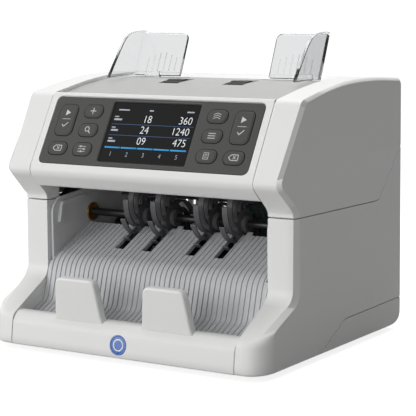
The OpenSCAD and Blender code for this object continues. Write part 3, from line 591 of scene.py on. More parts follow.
ACETAL = material("acetal", (214, 213, 206), rough=0.36, vary=0.03, grain=0.03,
                  rough_vary=0.06, blotch=50, wear=(236, 236, 230))
ACETAL_DARK = material("acetal_dark", (66, 66, 68), rough=0.38, vary=0.07, blotch=50,
                       wear=(110, 110, 110))
BLACK = material("black_plastic", (34, 34, 35), rough=0.4, vary=0.1, grain=0.12,
                 grain_scale=1700, blotch=35, wear=(74, 74, 74))
WHEEL = material("stacker_wheel_plastic", (86, 86, 88), rough=0.45, vary=0.08, grain=0.1,
                 grain_scale=1700, blotch=35, wear=(120, 120, 122))
DARK_STEEL = material("blackened_steel", (70, 70, 72), rough=0.36, metal=0.8, vary=0.08,
                      grain=0.06, grain_scale=900, blotch=40)
BOARD = material("circuit_board", (58, 96, 78), rough=0.32, vary=0.16, grain=0.06,
                 grain_scale=700, rough_vary=0.1, blotch=160, coat=0.3)
CAN = material("motor_can", (92, 92, 96), rough=0.36, metal=0.9, vary=0.07, grain=0.07,
               rough_vary=0.12, blotch=30, wear=(150, 150, 152))
BADGE_BLUE = material("badge_blue", (24, 92, 178), rough=0.28, vary=0.05, grain=0, coat=0.5,
                      blotch=120)
BADGE_WHITE = material("badge_white", (238, 240, 243), rough=0.32, vary=0.02, grain=0,
                       coat=0.4, blotch=120)
PORT_INSIDE = material("port_inside", (16, 16, 18), rough=0.5, vary=0.1)
LENS = material("led_lens", (70, 20, 24), rough=0.15, vary=0.1, grain=0, coat=0.6)
CLEAR = clear_plastic()

# ------------------------------------------------------------------ side covers
# Columns: y, z of the edge; x where the chamfer starts; y, z where it meets the outer side;
# its roundness (0 flat, 1 quarter round); corner cut.
EDGE_X = 121.5
UPPER_OUTLINE = soft([
    (48.5, 111.0, 122.6, 55.3, 111.0, 0, 1.0),
    (48.4, 115.4, 122.4, 54.7, 116.2, 0, 7),
    (*PANEL_FRONT, 120.2, 27.8, 137.0, 0, 6),
    (*PANEL_BACK, 122.8, 65.6, 192.8, 0, 4),
    (99.2, 201.5, 121.2, 97, 199.2, 0.4, 12),
    (126.1, 204.8, 121.2, 124, 202.4, 0.4, 12),
    (153.9, 205.8, 121.2, 153.9, 203.3, 0.4, 12),
    (183, 205.2, 121.2, 183, 202.7, 0.4, 12),
    (212.7, 203.1, 121.2, 211, 200.7, 0.4, 8),
    (BACK_Y, 202.4, EDGE_X, 219.3, 200.1, 0.4, 4),
    (BACK_Y, 151.0, EDGE_X, 219.3, 149.1, 0.4, 1.2),
    (181.8, 110.2, EDGE_X, 181.8, 110.2, 0.4, 3),
    (176.5, 109.3, EDGE_X, 176.5, 109.3, 0.4, 3)], 9, True)
LOWER_OUTLINE = soft([
    (48.5, 110.3, 122.6, 55.3, 110.3, 0.2, 1.0),
    (176.6, 108.6, EDGE_X, 176.6, 108.6, 0.4, 3),
    (182.1, 109.5, EDGE_X, 182.1, 109.5, 0.4, 3),
    (BACK_Y, 149.8, EDGE_X, 219.3, 147.6, 0.4, 1.5),
    (BACK_Y, 25.9, EDGE_X, 219.3, 25.9, 0.4, 1.0),
    (128.4, 24.8, EDGE_X, 128.4, 24.8, 0.4, 3),
    (123.4, 24.1, EDGE_X, 123.4, 24.1, 0.4, 3),
    (84.6, BASE_Z, 121.0, 85.6, BASE_Z + 1, 0.4, 1.0),
    (1.2, BASE_Z, 108, 20, BASE_Z + 1, 1, 2),
    (0.3, 8, 107, 18.5, 10, 1, 3),
    (3.2, 27.0, 107, 19, 28.5, 1, 3.4),
    (9.5, 30.6, 116.2, 17.8, 33.5, 0.45, 5),
    (47.6, 51.5, 122.4, 54.9, 49.4, 0, 8)], 9, True)
PAN_OUTLINE = soft([
    (86.2, BASE_Z, 121.0, 87.0, BASE_Z + 1, 0.4, 0),
    (123.6, 23.4, EDGE_X, 123.6, 23.4, 0.4, 3),
    (128.6, 24.2, EDGE_X, 128.6, 24.2, 0.4, 3),
    (BACK_Y, 25.2, EDGE_X, 219.3, 25.2, 0.4, 0),
    (BACK_Y, BASE_Z, EDGE_X, 219.3, BASE_Z + 1, 0.4, 17)], 10, True)

# Hollows, as (y, z, cut) rows: a deep one, the outer one and the front one
UPPER_HOLLOWS = (
    [(64, 100, 0), (64, 192.2 - WALL, 3), (99.5, 201.3 - WALL, 12), (126.1, 204.6 - WALL, 12),
     (153.9, 205.6 - WALL, 12), (183, 205.0 - WALL, 12), (211, 203.0 - WALL, 5),
     (BACK_Y - WALL, 202.2 - WALL, 3), (BACK_Y - WALL, 100, 0)],
    [(57.6, 100, 0), (57.6, 118, 5), (31.4, 138.6, 4), (66.5, 190.2, 4),
     (97, 198.0 - WALL, 12), (124, 201.2 - WALL, 12), (153.9, 202.1 - WALL, 12),
     (183, 201.5 - WALL, 12), (210, 199.5 - WALL, 5), (216.4, 198.6 - WALL, 3),
     (216.4, 100, 0)],
    [(51.5, 100, 0), (51.5, 117.4, 0), (30.6, 136.4, 0), (64.5, 191, 0), (64.5, 100, 0)])
LOWER_HOLLOWS = (
    [(62, 120, 0), (62, FLOOR_Z, 0), (84.0, FLOOR_Z, 0), (122.5, 24.0 + WALL, 0),
     (128, 24.8 + WALL, 0), (BACK_Y - WALL, 25.9 + WALL, 0), (BACK_Y - WALL, 155, 0),
     (180, 120, 0)],
    [(58.6, 120, 0), (58.6, 53.5, 8), (25, 33.4, 4), (22.5, FLOOR_Z + 1, 0),
     (84.4, FLOOR_Z + 1, 0), (122.4, 24.6 + WALL, 0), (128, 25.4 + WALL, 0),
     (216.4, 25.9 + WALL, 0), (216.4, 152, 0), (180, 120, 0)],
    [(51.5, 120, 0), (51.5, 50.0, 0), (7.5, 26.5, 0), (5.5, FLOOR_Z, 0), (63, FLOOR_Z, 0),
     (63, 120, 0)])


def ease(row):
    """How far the front of the column eases back before its chamfer starts."""
    near = min(1, max(0, 1 - abs(row[0] - 48.2) / 2.4))
    return 0.95 * near * (1 if 44 < row[1] < 122 else 0)


def chamfer_ring(outline, t):
    out = []
    for row in outline:
        y, z, x, outer_y, outer_z, roundness = row
        outward = (1 - roundness) * t + roundness * sin(pi / 2 * t)
        inward = (1 - roundness) * t + roundness * (1 - cos(pi / 2 * t))
        x -= 0.64 * ease(row)
        y += ease(row)
        out.append((x + (HALF_WIDTH - x) * outward, y + (outer_y - y) * inward,
                    z + (outer_z - z) * inward))
    return out


def shell(outline, inner_x, steps=10):
    """Solid cover from inner_x out to the side, with a rounded inner rim."""
    flat = [row[:2] for row in outline]
    inner_rim = 0.4 if area(flat) > 0 else -0.4
    rings = []
    for k in range(4):
        turn = pi / 2 * k / 3
        x = inner_x + 0.4 * (1 - cos(turn))
        rings.append([(x, *point) for point in inset(flat, inner_rim * (1 - sin(turn)))])
    for gap, share in ((6, 0), (4, 0.15), (2, 0.5)):
        rings.append([(row[2] - gap, row[0] + ease(row) * share, row[1]) for row in outline])
    rings += [chamfer_ring(outline, k / steps) for k in range(steps + 1)]
    n = len(outline)
    rows = [range(k * n, k * n + n) for k in range(len(rings))]
    faces = [face for pair in zip(rows, rows[1:]) for face in band(*pair)]
    for k in (0, -1):
        triangles = tessellate_polygon([[Vector((y, z, 0)) for x, y, z in rings[k]]])
        faces += [tuple(rows[k][i] for i in triangle) for triangle in triangles]
    return Solid().add([p for points in rings for p in points], faces)


def side_covers(name, outline, hollows, posts, body, finish):
    """Right and left cover with hollow bosses, each on four webs."""
    deep, outer, front = hollows
    hollow = combined(shell(outline, COVER_X), [
        prism(deep, COVER_X - 1, 112),
        prism(outer, 111, HALF_WIDTH - WALL),
        prism(front, COVER_X + WALL - 0.5, 111.2),
        drill(HINGE, 4.2, COVER_X - 1, COVER_X + 4)])
    bosses = Solid()
    web = [(3.6, 0.6), (3.6, -0.6), (7, -0.6), (7, 0.6)]
    for post in posts:
        bosses.bush(post, 4, 1.4, 106, HALF_WIDTH - WALL + 0.4)
        for k in range(4):
            bosses.plate(turned(web, post, pi / 4 + k * pi / 2), 112,
                         HALF_WIDTH - WALL + 0.3, along_x, 0.1, steps=1)
    for side in ("right", "left"):
        mesh = joined(hollow, bosses, mirrored=side == "left", collapse=1e-6)
        piece(f"{name}_{side}_shell", mesh, [finish], body, f"{name}_{side}_cover",
              sharp=21, outer_crease=True)


def base_tub():
    """Base pan with its swept-up sides."""
    floor = Solid().plate(
        wall_line([(22.4, BASE_Z, 0), (BACK_Y, BASE_Z, 17), (BACK_Y, 25.2, 0)], WALL, 12),
        -COVER_X, COVER_X, along_x, 0.2, steps=1)
    for y in (60, 112, 160):
        floor.block((-96, y, BASE_Z + 1), (96, y + 2, BASE_Z + 6), 0.3)
    cuts = [drill(foot, 7.3, BASE_Z - 1, BASE_Z + 1, along_z) for foot in FEET]
    cuts += [Solid().plate(slot_line((i * 9, 188), 4, 26), BASE_Z - 1, BASE_Z + 4, along_z, 0)
             for i in range(-4, 5)]
    hollow = [(94, FLOOR_Z, 0), (124.4, 18, 3), (129.5, 28, 0), (230, 28, 0),
              (219 - WALL, 22, 0), (219 - WALL, FLOOR_Z, 14)]
    side = combined(shell(PAN_OUTLINE, COVER_X - 0.4, 8),
                    [prism(hollow, COVER_X - 2, HALF_WIDTH - WALL, 8)])
    piece("base_tub", joined(combined(floor, cuts), side, joined(side, mirrored=True)),
          [TRAY_WHITE], "base", "base_pan", sharp=32, bevel=0.25)


# --------------------------------------------------------- front tray and badge
def front_tray():
    """Front lip with ribs, a seat for the badge and two upright stops."""
    lip = [(22, BASE_Z, 0), (1.0, BASE_Z, 1.5), (0.3, 8, 3), (2.5, 23.4, 3.5),
           (8.4, 29.6, 3.5), (15.2, 29.6, 1), (15.2, 8, 0)]
    tray = Solid().plate(wall_line(lip, -WALL, 10), -MIDDLE_X, MIDDLE_X, along_x, 0.5)
    for x in (-96, -40, 40, 96):
        tray.slab([(2, 6), (3.5, 22), (8, 28.3), (14, 28.3), (14, 6)], x, 1, 0.1)
    seat = Solid().plate(circle((0, 0), 7.6, 64), -1.2, 4, on_badge, 0)
    lean = tilted((9.0, 27.5), radians(8))
    outline = soft([(-23.4, -0.5, 0), (-21.6, 3.2, 3), (-17.7, 33, 5.5),
                    (17.7, 33, 5.5), (21.6, 3.2, 3), (23.4, -0.5, 0)], 12, True)
    stops = Solid()
    for x in (-40.1, 40.1):
        stops.plate(outline, 0, 7.4, lambda u, v, w: lean(x + u, 4 - w, v), 1.7, steps=6)
    piece("tray_with_stops", joined(combined(tray, [seat]), stops), [TRAY_WHITE], "base",
          "front_tray", sharp=35)


def badge():
    """Blue disc with a raised rim and one white ring."""
    def disc(radius):
        return circle((0, 0), radius, 72)
    part = Solid().plate(disc(7.4), -1.15, 0.1, on_badge, 0.25, 0.05, holes=[disc(6.3)])
    part.plate(disc(6.35), -1.15, -0.12, on_badge, 0.05, steps=1)
    part.plate(disc(4.6), -0.2, -0.02, on_badge, 0.05, 0.02, 1, 1, [disc(3.7)])
    piece("round_badge", part, [BADGE_BLUE, BADGE_WHITE], "base", "badge",
          sharp=50)


# ---------------------------------------------------------------- stacker plate
WHEEL_XS = (-46, -20, 20, 46)


def stacker_plate():
    """Bent plate with grooves along its depth and slots for the stacker wheels."""
    slot_half, slot_start = 4.2, 68
    path = densify(soft([(15.8, 21.5, 0), (40.7, 32.3, 4), (50.0, 64.9, 9), (98, 87.3, 0)],
                        10), 4.0)
    add_station(path, slot_start)
    # Groove section: distance from its centre, depth
    groove = ((-0.7, 0), (-0.5, 0.08), (-0.38, 0.3), (-0.33, 0.7),
              (0.33, 0.7), (0.38, 0.3), (0.5, 0.08), (0.7, 0))
    depths = {-98.2: 0.0, 98.2: 0.0, -100.7: 0.0, 100.7: 0.0}
    for i in range(-22, 22):
        for dx, depth in groove:
            depths[round((i + 0.5) * 4.5 + dx, 3)] = depth
    for x in WHEEL_XS:
        for edge in (x - slot_half, x + slot_half):
            depths[round(edge, 3)] = max([d for at, d in depths.items()
                                          if abs(at - edge) < 0.1] + [0.0])
    xs = sorted(depths)
    surfaces = {depth: shifted(path, -depth) for depth in depths.values()}
    bottom = shifted(path, -3.0)

    def present(i, j):
        x = (xs[j] + xs[j + 1]) / 2
        if path[i + 1][0] > 51.3 and abs(x) > 98.2:
            return False
        return not (path[i][0] >= slot_start - 0.01 and
                    any(abs(x - wheel) < slot_half + 1e-4 for wheel in WHEEL_XS))
    part = Solid().grid([[(x, *surfaces[depths[x]][i]) for x in xs] for i in range(len(path))],
                        [[(x, *point) for x in xs] for point in bottom], present)
    tab = soft([(88, 81.9, 0), (101.0, 89.6, 0.8), (100, 87.1, 0.8), (88, 80.0, 0)], 4, True)
    for x in (-55, -31, -9, 9, 31, 55):
        part.slab(tab, x, 2.6, 0.5, 3)
    for x in (-97, 97):
        part.slab([(46, 10), (54, 63.6), (88, 79.6), (88, 10)], x, 1, 0.2)
    piece("grooved_plate", part, [STACKER_GREY], "base", "stacker_plate",
          sharp=38)


# ---------------------------------------------------------------- control panel
def control_cover():
    face = Solid().plate(
        wall_line([(*PANEL_BACK, 0), (*PANEL_FRONT, 7), (39.6, 122.6, 3.5), (66, 127.5, 0)],
                  WALL, 12), -MIDDLE_X, MIDDLE_X, along_x, 0)
    opening = Solid().plate(rect(190.6, 58.2, 6, (0, 36.9), 12), -6, 4, on_panel, 0)
    edges = Solid().plate(
        soft([(59.4, 193.0, 0), (60.4, 194.7, 1), (62.6, 195.2, 1), (63.9, 194.2, 1),
              (63.9, 188.5, 0), (61.4, 188.5, 0), (61.4, 190, 0)], 6, True),
        -MIDDLE_X, MIDDLE_X, along_x, 0)
    for x in (-99.4, 99.4):
        edges.slab([(30.2, 137.5), (40.3, 126.4), (63.8, 130), (62.8, 189.5), (60.6, 189.5)],
                   x, 1.1, 0.1)
    piece("panel_cover", joined(combined(face, [opening]), edges), [SHELL_WHITE],
          "upper_unit", "control_cover", sharp=35, bevel=0.25)


SMALL_KEY, LARGE_KEY = (17.4, 10.8), (16.6, 26.6)
DISPLAY_CENTRE = (0, 37.4)
# Name, icon, centre on the panel, cap size
KEYS = (("clear_left", "clear", (-80, 21.1), SMALL_KEY),
        ("add", "add", (-56.5, 53.4), SMALL_KEY),
        ("detect", "detect", (-56.5, 37.4), SMALL_KEY),
        ("mode", "mode", (-56.5, 21.2), SMALL_KEY),
        ("batch", "batch", (56.5, 53.4), SMALL_KEY),
        ("menu", "menu", (56.5, 37.4), SMALL_KEY),
        ("report", "report", (56.5, 21.2), SMALL_KEY),
        ("clear_right", "clear", (80, 21.1), SMALL_KEY),
        ("start_left", "start", (-80, 45.2), LARGE_KEY),
        ("start_right", "start", (80, 45.2), LARGE_KEY))


def bezel():
    holes = [rect(78.8, 50.2, 1.5, DISPLAY_CENTRE, 6)]
    holes += [arc_rect(width + 0.9, height + 0.9, 5.4, centre)
              for name, kind, centre, (width, height) in KEYS]
    part = Solid().plate(arc_rect(189.2, 56.8, 4.4, (0, 36.9)), -2.6, -0.2, on_panel, 0.4,
                         0.1, 4, holes=holes, hole_rims=[(1.5, 0.05)] + [(0.2, 0.05)] * 10)
    for x in (-92, 92):
        part.plate([(x - 1, 12), (x + 1, 12), (x + 1, 62), (x - 1, 62)], -6, -2.5, on_panel,
                   0.1, steps=1)
    piece("dark_bezel", part, [BEZEL], "upper_unit", "control_bezel", sharp=45)


def bar(start, end, width):
    """Outline of a stroke with round ends."""
    dx, dy = heading(start, end)
    out = []
    for (x, y), sign in ((start, -1), (end, 1)):
        for k in range(7):
            along = sign * width / 2 * sin(pi * k / 6)
            aside = -sign * width / 2 * cos(pi * k / 6)
            out.append((x + dx * along - dy * aside, y + dy * along + dx * aside))
    return out


def even(points, cut, steps=3):
    """Closed outline with the same cut at every corner."""
    return soft([(*point, cut) for point in points], steps, True)


# Each icon is a list of marks; a mark is an outline followed by its holes.
ICONS = {
    "start": [[even([(-1.9, 3.4), (2.5, 6.0), (-1.9, 8.6)], 0.5)],
              [bar((-3.6, 0.6), (3.6, 0.6), 0.4)],
              [bar((-2.4, -4.2), (-0.7, -5.9), 0.75)],
              [bar((-0.7, -5.9), (2.6, -2.4), 0.75)]],
    "clear": [[even([(-4.4, 0), (-2.0, 2.5), (4.2, 2.5), (4.2, -2.5), (-2.0, -2.5)], 0.7),
               even([(-3.5, 0), (-1.7, 1.9), (3.6, 1.9), (3.6, -1.9), (-1.7, -1.9)], 0.5)],
              [bar((-0.1, 1.0), (1.9, -1.0), 0.5)],
              [bar((-0.1, -1.0), (1.9, 1.0), 0.5)]],
    "add": [[bar((-2.4, 0), (2.4, 0), 0.75)], [bar((0, -2.4), (0, 2.4), 0.75)]],
    "detect": [[circle((-0.6, 0.6), 2.2, 32), circle((-0.6, 0.6), 1.55, 32)],
               [bar((1.1, -1.1), (2.6, -2.6), 0.75)]],
    "mode": [mark for x, y in ((-1.44, 2.1), (2.08, 0), (-0.32, -2.1))
             for mark in ([bar((-3.4, y), (3.4, y), 0.42)], [circle((x, y), 0.85, 20)])],
    "batch": [[bar(*ends, 0.45)] for y in (1.9, 0.2, -1.5)
              for ends in (((-3, y - 0.6), (0, y + 0.5)), ((0, y + 0.5), (3, y - 0.6)))],
    "menu": [[bar((-3, y), (3, y), 0.6)] for y in (1.9, 0, -1.9)],
    "report": [[rect(4.6, 5.4, 0.5, steps=3), rect(3.8, 4.6, 0.4, steps=3)]] +
              [[bar((-1.2, y), (1.2, y), 0.36)] for y in (1.2, 0.1, -1.0)]}


def key_caps():
    for name, kind, centre, (width, height) in KEYS:
        def place(u, v, w):
            return on_panel(u + centre[0], v + centre[1], w)
        part = Solid().plate(arc_rect(width, height, 5), -2.8, 0.3, place, 0.45, 0.05, 5)
        part.plate(arc_rect(width - 2, height - 2, 4), 0.2, 0.6, place, 0.34, 0.02, 4)
        part.plate(rect(width + 1.6, height + 1.6, 5), -3.8, -2.7, place, 0.15, steps=1,
                   paint=2)
        part.lathe([(-5.4, 0), (-5.4, 1.9), (-5.1, 2.2), (-3.4, 2.2), (-3.4, 0)], (0, 0), 32,
                   place)
        for outline, *holes in ICONS[kind]:
            part.plate(outline, 0.5, 0.64, place, 0.02, 0, 1, 1, holes)
        piece("cap_" + name, part, [KEY, LEGEND, GAP], "key_" + name, "key_" + name,
              sharp=45)


def display_window():
    part = Solid().plate(rect(78.4, 49.8, 1.3, DISPLAY_CENTRE, 6), -3.0, -1.6, on_panel,
                         0.25, 0.1)
    piece("window_pane", part, [WINDOW], "upper_unit", "display_window",
          sharp=45)


def text_mesh(text, size, align):
    """Points and faces of a line of text."""
    curve = bpy.data.curves.new("text", "FONT")
    curve.body, curve.size, curve.align_x, curve.align_y = text, size, align, "CENTER"
    curve.extrude = 0.02
    curve.offset = -0.012 * size
    curve.resolution_u = 4
    item = bpy.data.objects.new("text", curve)
    bpy.context.scene.collection.objects.link(item)
    graph = bpy.context.evaluated_depsgraph_get()
    mesh = bpy.data.meshes.new_from_object(item.evaluated_get(graph))
    bpy.data.objects.remove(item)
    return [tuple(v.co) for v in mesh.vertices], [tuple(p.vertices) for p in mesh.polygons]


def readout():
    """Figures and bars just above the window pane."""
    part = Solid()
    light, dim, line, heading_bar, blue = range(5)

    def put_text(text, size, align, u, v, paint):
        points, faces = text_mesh(text, size, align)
        part.add([on_panel(u + x * 0.92, v + y, -1.57 + z) for x, y, z in points],
                 faces, paint)

    def put_bar(left, right, v, height, paint, cut):
        outline = rect(right - left, height, min(cut, height * 0.45),
                       ((left + right) / 2, v), 3)
        part.plate(outline, -1.6, -1.56, on_panel, 0.01, 0, 1, paint)

    for count, value, v, width in (("18", "360", 48.9, 7.4), ("24", "1240", 39.9, 6.6),
                                   ("09", "475", 30.7, 7.0)):
        put_text(count, 8.8, "RIGHT", -1.5, v, light)
        put_text(value, 8.8, "RIGHT", 35.0, v, light)
        put_bar(-36.4, -36.4 + width, v - 0.6, 1.5, dim, 0.5)
        put_bar(-36.4, -36.4 + width * 0.55, v + 1.7, 0.9, dim, 0.4)
    for v in (44.4, 35.2):
        put_bar(-37.2, 37.2, v, 0.42, line, 0.1)
    for left, right in ((-34.5, -24.5), (-6.0, -2.2), (28.0, 34.6)):
        put_bar(left, right, 56.4, 1.1, heading_bar, 0.4)
    for k in range(5):
        u = -37.4 + k * 15.0
        put_bar(u, u + 14.2, 24.9, 1.25, blue, 0.2)
        put_text(str(k + 1), 5.2, "CENTER", u + 7.1, 19.4, dim)
    piece("screen_readout", part,
          [READOUT, READOUT_DIM, READOUT_LINE, READOUT_DIM, READOUT_BLUE],
          "upper_unit", None, sharp=60, weighted=False)


# --------------------------------------------------- hopper, lid, clear guides
def hopper():
    """Top plate with openings at the pickup rollers and slots for the guides."""
    path = densify(soft([(64.3, 192.2, 0), (99.2, 198.7, 10), (126.1, 202.0, 6),
                         (140, 202.6, 4), (156.9, 202.9, 0)]), 3.0)
    for y in (115.5, 142.5, 152.4, 156.0):
        add_station(path, y)
    xs = sorted({side * x for side in (-1, 1) for x in (MIDDLE_X, 92, 34, 39.2, 20.8)} |
                {-96 + 8 * k for k in range(25)})

    def present(i, j):
        y, x = (path[i][0] + path[i + 1][0]) / 2, abs(xs[j] + xs[j + 1]) / 2
        if 115.5 < y < 142.5 and 20.8 < x < 39.2:
            return False
        return not (152.4 < y < 156.0 and 34 < x < 92)
    part = Solid().grid([[(x, *point) for x in xs] for point in path],
                        [[(x, *point) for x in xs] for point in shifted(path, -WALL)], present)
    for x in (-50, 50):
        part.slab([(143.4, 200.6), (143.4, 190.4), (176.6, 190.4), (176.6, 199.6),
                   (174.6, 199.6), (174.6, 192.4), (145.4, 192.4), (145.4, 200.6)], x, 3, 0.2)
    part.slab([(141, 200.6), (141, 188.4), (166, 188.4), (166, 190.4), (143.4, 190.4),
               (143.4, 200.6)], 0, 8, 0.2)
    part.rod((0, PIN_Y), 3, 188.5, 198, 0.4, place=along_z)
    for x in (-72, 0, 72):
        part.slab([(72, 191.4), (108, 197.2), (108, 192.0), (76, 188.8)], x, 0.8, 0.15)
    piece("feed_hopper", part, [HOPPER_GREY], "upper_unit", "hopper_plate",
          sharp=38, bevel=0.35)


def top_lid():
    """Rear part of the top and upper back, with two hinge knuckles."""
    path = [(157.4, 203.0, 0), (167, 205.4, 4), (183, 205.0, 8), (212.7, 203.0, 6),
            (BACK_Y, 202.3, 5), (BACK_Y, 150.8, 0)]
    part = Solid().plate(wall_line(path, -WALL, 12), -MIDDLE_X, MIDDLE_X, along_x, 0.35,
                         steps=2)
    for side in (-1, 1):
        x0, x1 = span(side, 57.6, 71.4)
        part.bush(HINGE, 3.5, 1.55, x0, x1, 0.3)
        part.block((x0, 218.4, 151.5), (x1, 220.0, 157), 0.3)
    for x in (-60, 0, 60):
        part.slab([(180, 203.0), (219.3, 200.6), (219.3, 196), (180, 196)], x, 1, 0.2)
    cuts = [drill(HINGE, 3.9, *span(side, *ends))
            for side in (1, -1) for ends in ((47.4, 57.3), (71.7, 81.6))]
    piece("top_lid", part, [SHELL_WHITE], "upper_unit", "top_cover", sharp=35,
          bevel=0.2, cutters=cuts)


def clear_guides():
    """Corner guides: a side wall and a leaning back wall with grooves, on a foot."""
    thick, tall = 3.0, 37.0
    lean = tilted((150.2, 204.8), radians(-23))

    def on_back(u, v, w):
        return lean(u, w, v)
    wall = Solid().plate(
        soft([(112.5, 203.9, 1), (149, 204.4, 0), (153.2, 206, 2),
              (153.2 + tall * 0.42, 203.6 + tall, 4), (150, 203.6 + tall - 0.5, 8),
              (140, 203.2 + tall - 3, 6), (133.5, 203.2 + tall - 9, 4)], 9, True),
        88 - thick, 88, along_x, 0.7, steps=4)
    back = Solid().plate(soft([(42, 0, 1), (88, 0, 0), (88, tall, 3), (42, tall, 6)], 10, True),
                         0, thick, on_back, 0.7, steps=4)
    foot = Solid().block((64, 152.7, PIN_Z + 4), (78, 155.7, PIN_Z + 14.2), 0.5, steps=3)
    cuts = []
    for i in range(6):
        length = 17 - abs(i - 2.5) * 2
        cuts.append(Solid().plate(slot_line((49 + i * 5.5, 4 + length / 2), 0.9, length, 6),
                                  thick - 0.45, thick + 2, on_back, 0))
    cuts.append(Solid().block((68, 150, PIN_Z + 3), (74, 158, PIN_Z + 5), 0.05))
    guide = combined(combined(wall, [back, foot], "UNION"), cuts)
    for side in ("right", "left"):
        mesh = guide.copy()
        if side == "left":
            mesh.transform(Matrix.Scale(-1, 4, (1, 0, 0)))
            mesh.flip_normals()
        piece(f"clear_{side}_guide", mesh, [CLEAR], side + "_guide", side + "_guide",
              sharp=42)


# ------------------------------------------------------------ rollers and drive
# Pulley lines, as (start x, width), and the play between a belt and its pulley's ends
MAIN_LINE, PICKUP_LINE, STACKER_LINE = (104.5, 8), (-111, 7), (-118.5, 7)
BELT_PLAY = 1.4
SHAFT_R = 3.0


def feed_rollers():
    """Four rubber rollers, each with three grooves."""
    end = [(-10, SHAFT_R), (-10, 5.6), (-9.6, 6.0), (-7.2, 6.0), (-7.0, 15.2), (-6.2, 16.0)]
    groove = [(-0.75, 16.0), (-0.5, 15.7), (-0.45, 15.2)]
    half = end + both_ends(groove, -4, -4) + groove
    part = Solid()
    for x in (-60, -22, 22, 60):
        part.lathe(both_ends(half, x, x), FEED, 96, closed=True)
    piece("feed_roller_set", part, [RUBBER], "feed_drive", "feed_rollers")


def pickup_rollers():
    """Two rubber rollers with 18 shallow notches."""
    # Angle from the tooth's middle, radius
    tooth = ((-0.123, 12.4), (-0.06, 12.4), (0.06, 12.4), (0.123, 12.4), (0.135, 11.7),
             (0.215, 11.7))
    outline = [(PICKUP[0] + r * cos(2 * pi * k / 18 + a), PICKUP[1] + r * sin(2 * pi * k / 18 + a))
               for k in range(18) for a, r in tooth]
    part = Solid()
    for x in (-30, 30):
        part.slab(outline, x, 8, 0.35, 2, holes=[circle(PICKUP, SHAFT_R, 40)],
                  hole_rims=[(0.1, 0.1)])
    piece("pickup_roller_set", part, [RUBBER], "pickup_drive", "pickup_rollers")


def stacker_finger(start):
    """Outline of a swept, tapering finger that leaves the hub at angle start."""
    last = 14
    line = []
    for k in range(last + 1):
        t = k / last
        radius, angle = 11.6 + 17.9 * t, start - radians(62) * t ** 1.1
        line.append((STACKER[0] + radius * cos(angle), STACKER[1] + radius * sin(angle)))
    other = []
    for k, (y, z) in enumerate(line):
        dy, dz = heading(line[max(k - 1, 0)], line[min(k + 1, last)])
        thick = 1.9 - 0.7 * (k / last)
        other.append((y - dz * thick, z + dy * thick))
    ahead = heading(line[-2], line[-1])
    tip = tuple((a + b) / 2 + d * 0.5 for a, b, d in zip(line[-1], other[-1], ahead))
    return line + [tip] + other[::-1]


def stacker_wheels():
    hub = [(-6, SHAFT_R), (-6, 6.6), (-5.6, 7.0), (-2.6, 7.0), (-2.5, 12.1), (-2.1, 12.5)]
    part = Solid()
    for x in WHEEL_XS:
        part.lathe(both_ends(hub, x, x), STACKER, 72, closed=True)
        for k in range(12):
            part.slab(stacker_finger(2 * pi * k / 12), x, 2.5, 0.35, 2)
    piece("stacker_wheel_set", part, [WHEEL], "stacker_drive", "stacker_wheels")


def add_pulley(part, centre, radius, line, bore=SHAFT_R):
    """Flanged pulley with low teeth."""
    start, width = line
    half = [(0, bore), (0, radius + 1.5), (0.3, radius + 1.8), (0.8, radius + 1.7),
            (1.2, radius)]
    part.lathe(both_ends(half, start, start + width), centre, 72, closed=True)
    tooth = [(radius - 0.2, -0.7), (radius - 0.2, 0.7), (radius + 0.12, 0.5),
             (radius + 0.12, -0.5)]
    for k in range(radius * 2):
        part.plate(turned(tooth, centre, 2 * pi * k / (radius * 2)), start + 1,
                   start + width - 1, along_x, 0)
    return part


def axles_and_pulleys():
    for name, centre, start, end, finish in (("feed", FEED, -119, 114, STEEL),
                                             ("pickup", PICKUP, -112, 103, STEEL),
                                             ("stacker", STACKER, -119, 103, DARK_STEEL)):
        piece(name + "_axle", Solid().rod(centre, SHAFT_R, start, end, 0.5), [finish],
              name + "_drive", name + "_shaft")
    for name, drive, replaced, centre, pulleys in (
            ("feed_pulley_set", "feed", "feed_pulleys", FEED,
             ((16, MAIN_LINE), (9, PICKUP_LINE), (10, STACKER_LINE))),
            ("pickup_pulley_wheel", "pickup", "pickup_pulley", PICKUP, ((9, PICKUP_LINE),)),
            ("stacker_pulley_wheel", "stacker", "stacker_pulley", STACKER,
             ((20, STACKER_LINE),))):
        part = Solid()
        for radius, line in pulleys:
            add_pulley(part, centre, radius, line)
        piece(name, part, [ACETAL_DARK], drive + "_drive", replaced)
    part = add_pulley(Solid().rod(MOTOR, SHAFT_R, 16, 113, 0.5), MOTOR, 8, MAIN_LINE, bore=2.9)
    piece("motor_shaft_pulley", part, [STEEL], "motor_rotor", "motor_pulley")


def belt_line(a, radius_a, b, radius_b, steps=32):
    dy, dz = b[0] - a[0], b[1] - a[1]
    aim = degrees(atan2(dz, dy))
    wrap = degrees(acos((radius_a - radius_b) / hypot(dy, dz)))
    out = []
    for centre, radius, start, sweep in ((a, radius_a, aim + wrap, 360 - 2 * wrap),
                                         (b, radius_b, aim - wrap, 2 * wrap)):
        for k in range(steps + 1):
            t = radians(start + sweep * k / steps)
            out.append((centre[0] + radius * cos(t), centre[1] + radius * sin(t)))
    return out


def belts():
    for name, a, radius_a, b, radius_b, (start, width) in (
            ("feed", MOTOR, 8, FEED, 16, MAIN_LINE),
            ("pickup", FEED, 9, PICKUP, 9, PICKUP_LINE),
            ("stacker", FEED, 10, STACKER, 20, STACKER_LINE)):
        outer, inner = (belt_line(a, radius_a + gap, b, radius_b + gap) for gap in (1.4, 0.15))
        part = Solid().plate(outer, start + BELT_PLAY, start + width - BELT_PLAY, along_x,
                             0.25, steps=2, holes=[inner])
        piece(name + "_timing_belt", part, [RUBBER], "base", name + "_belt",
              sharp=45)


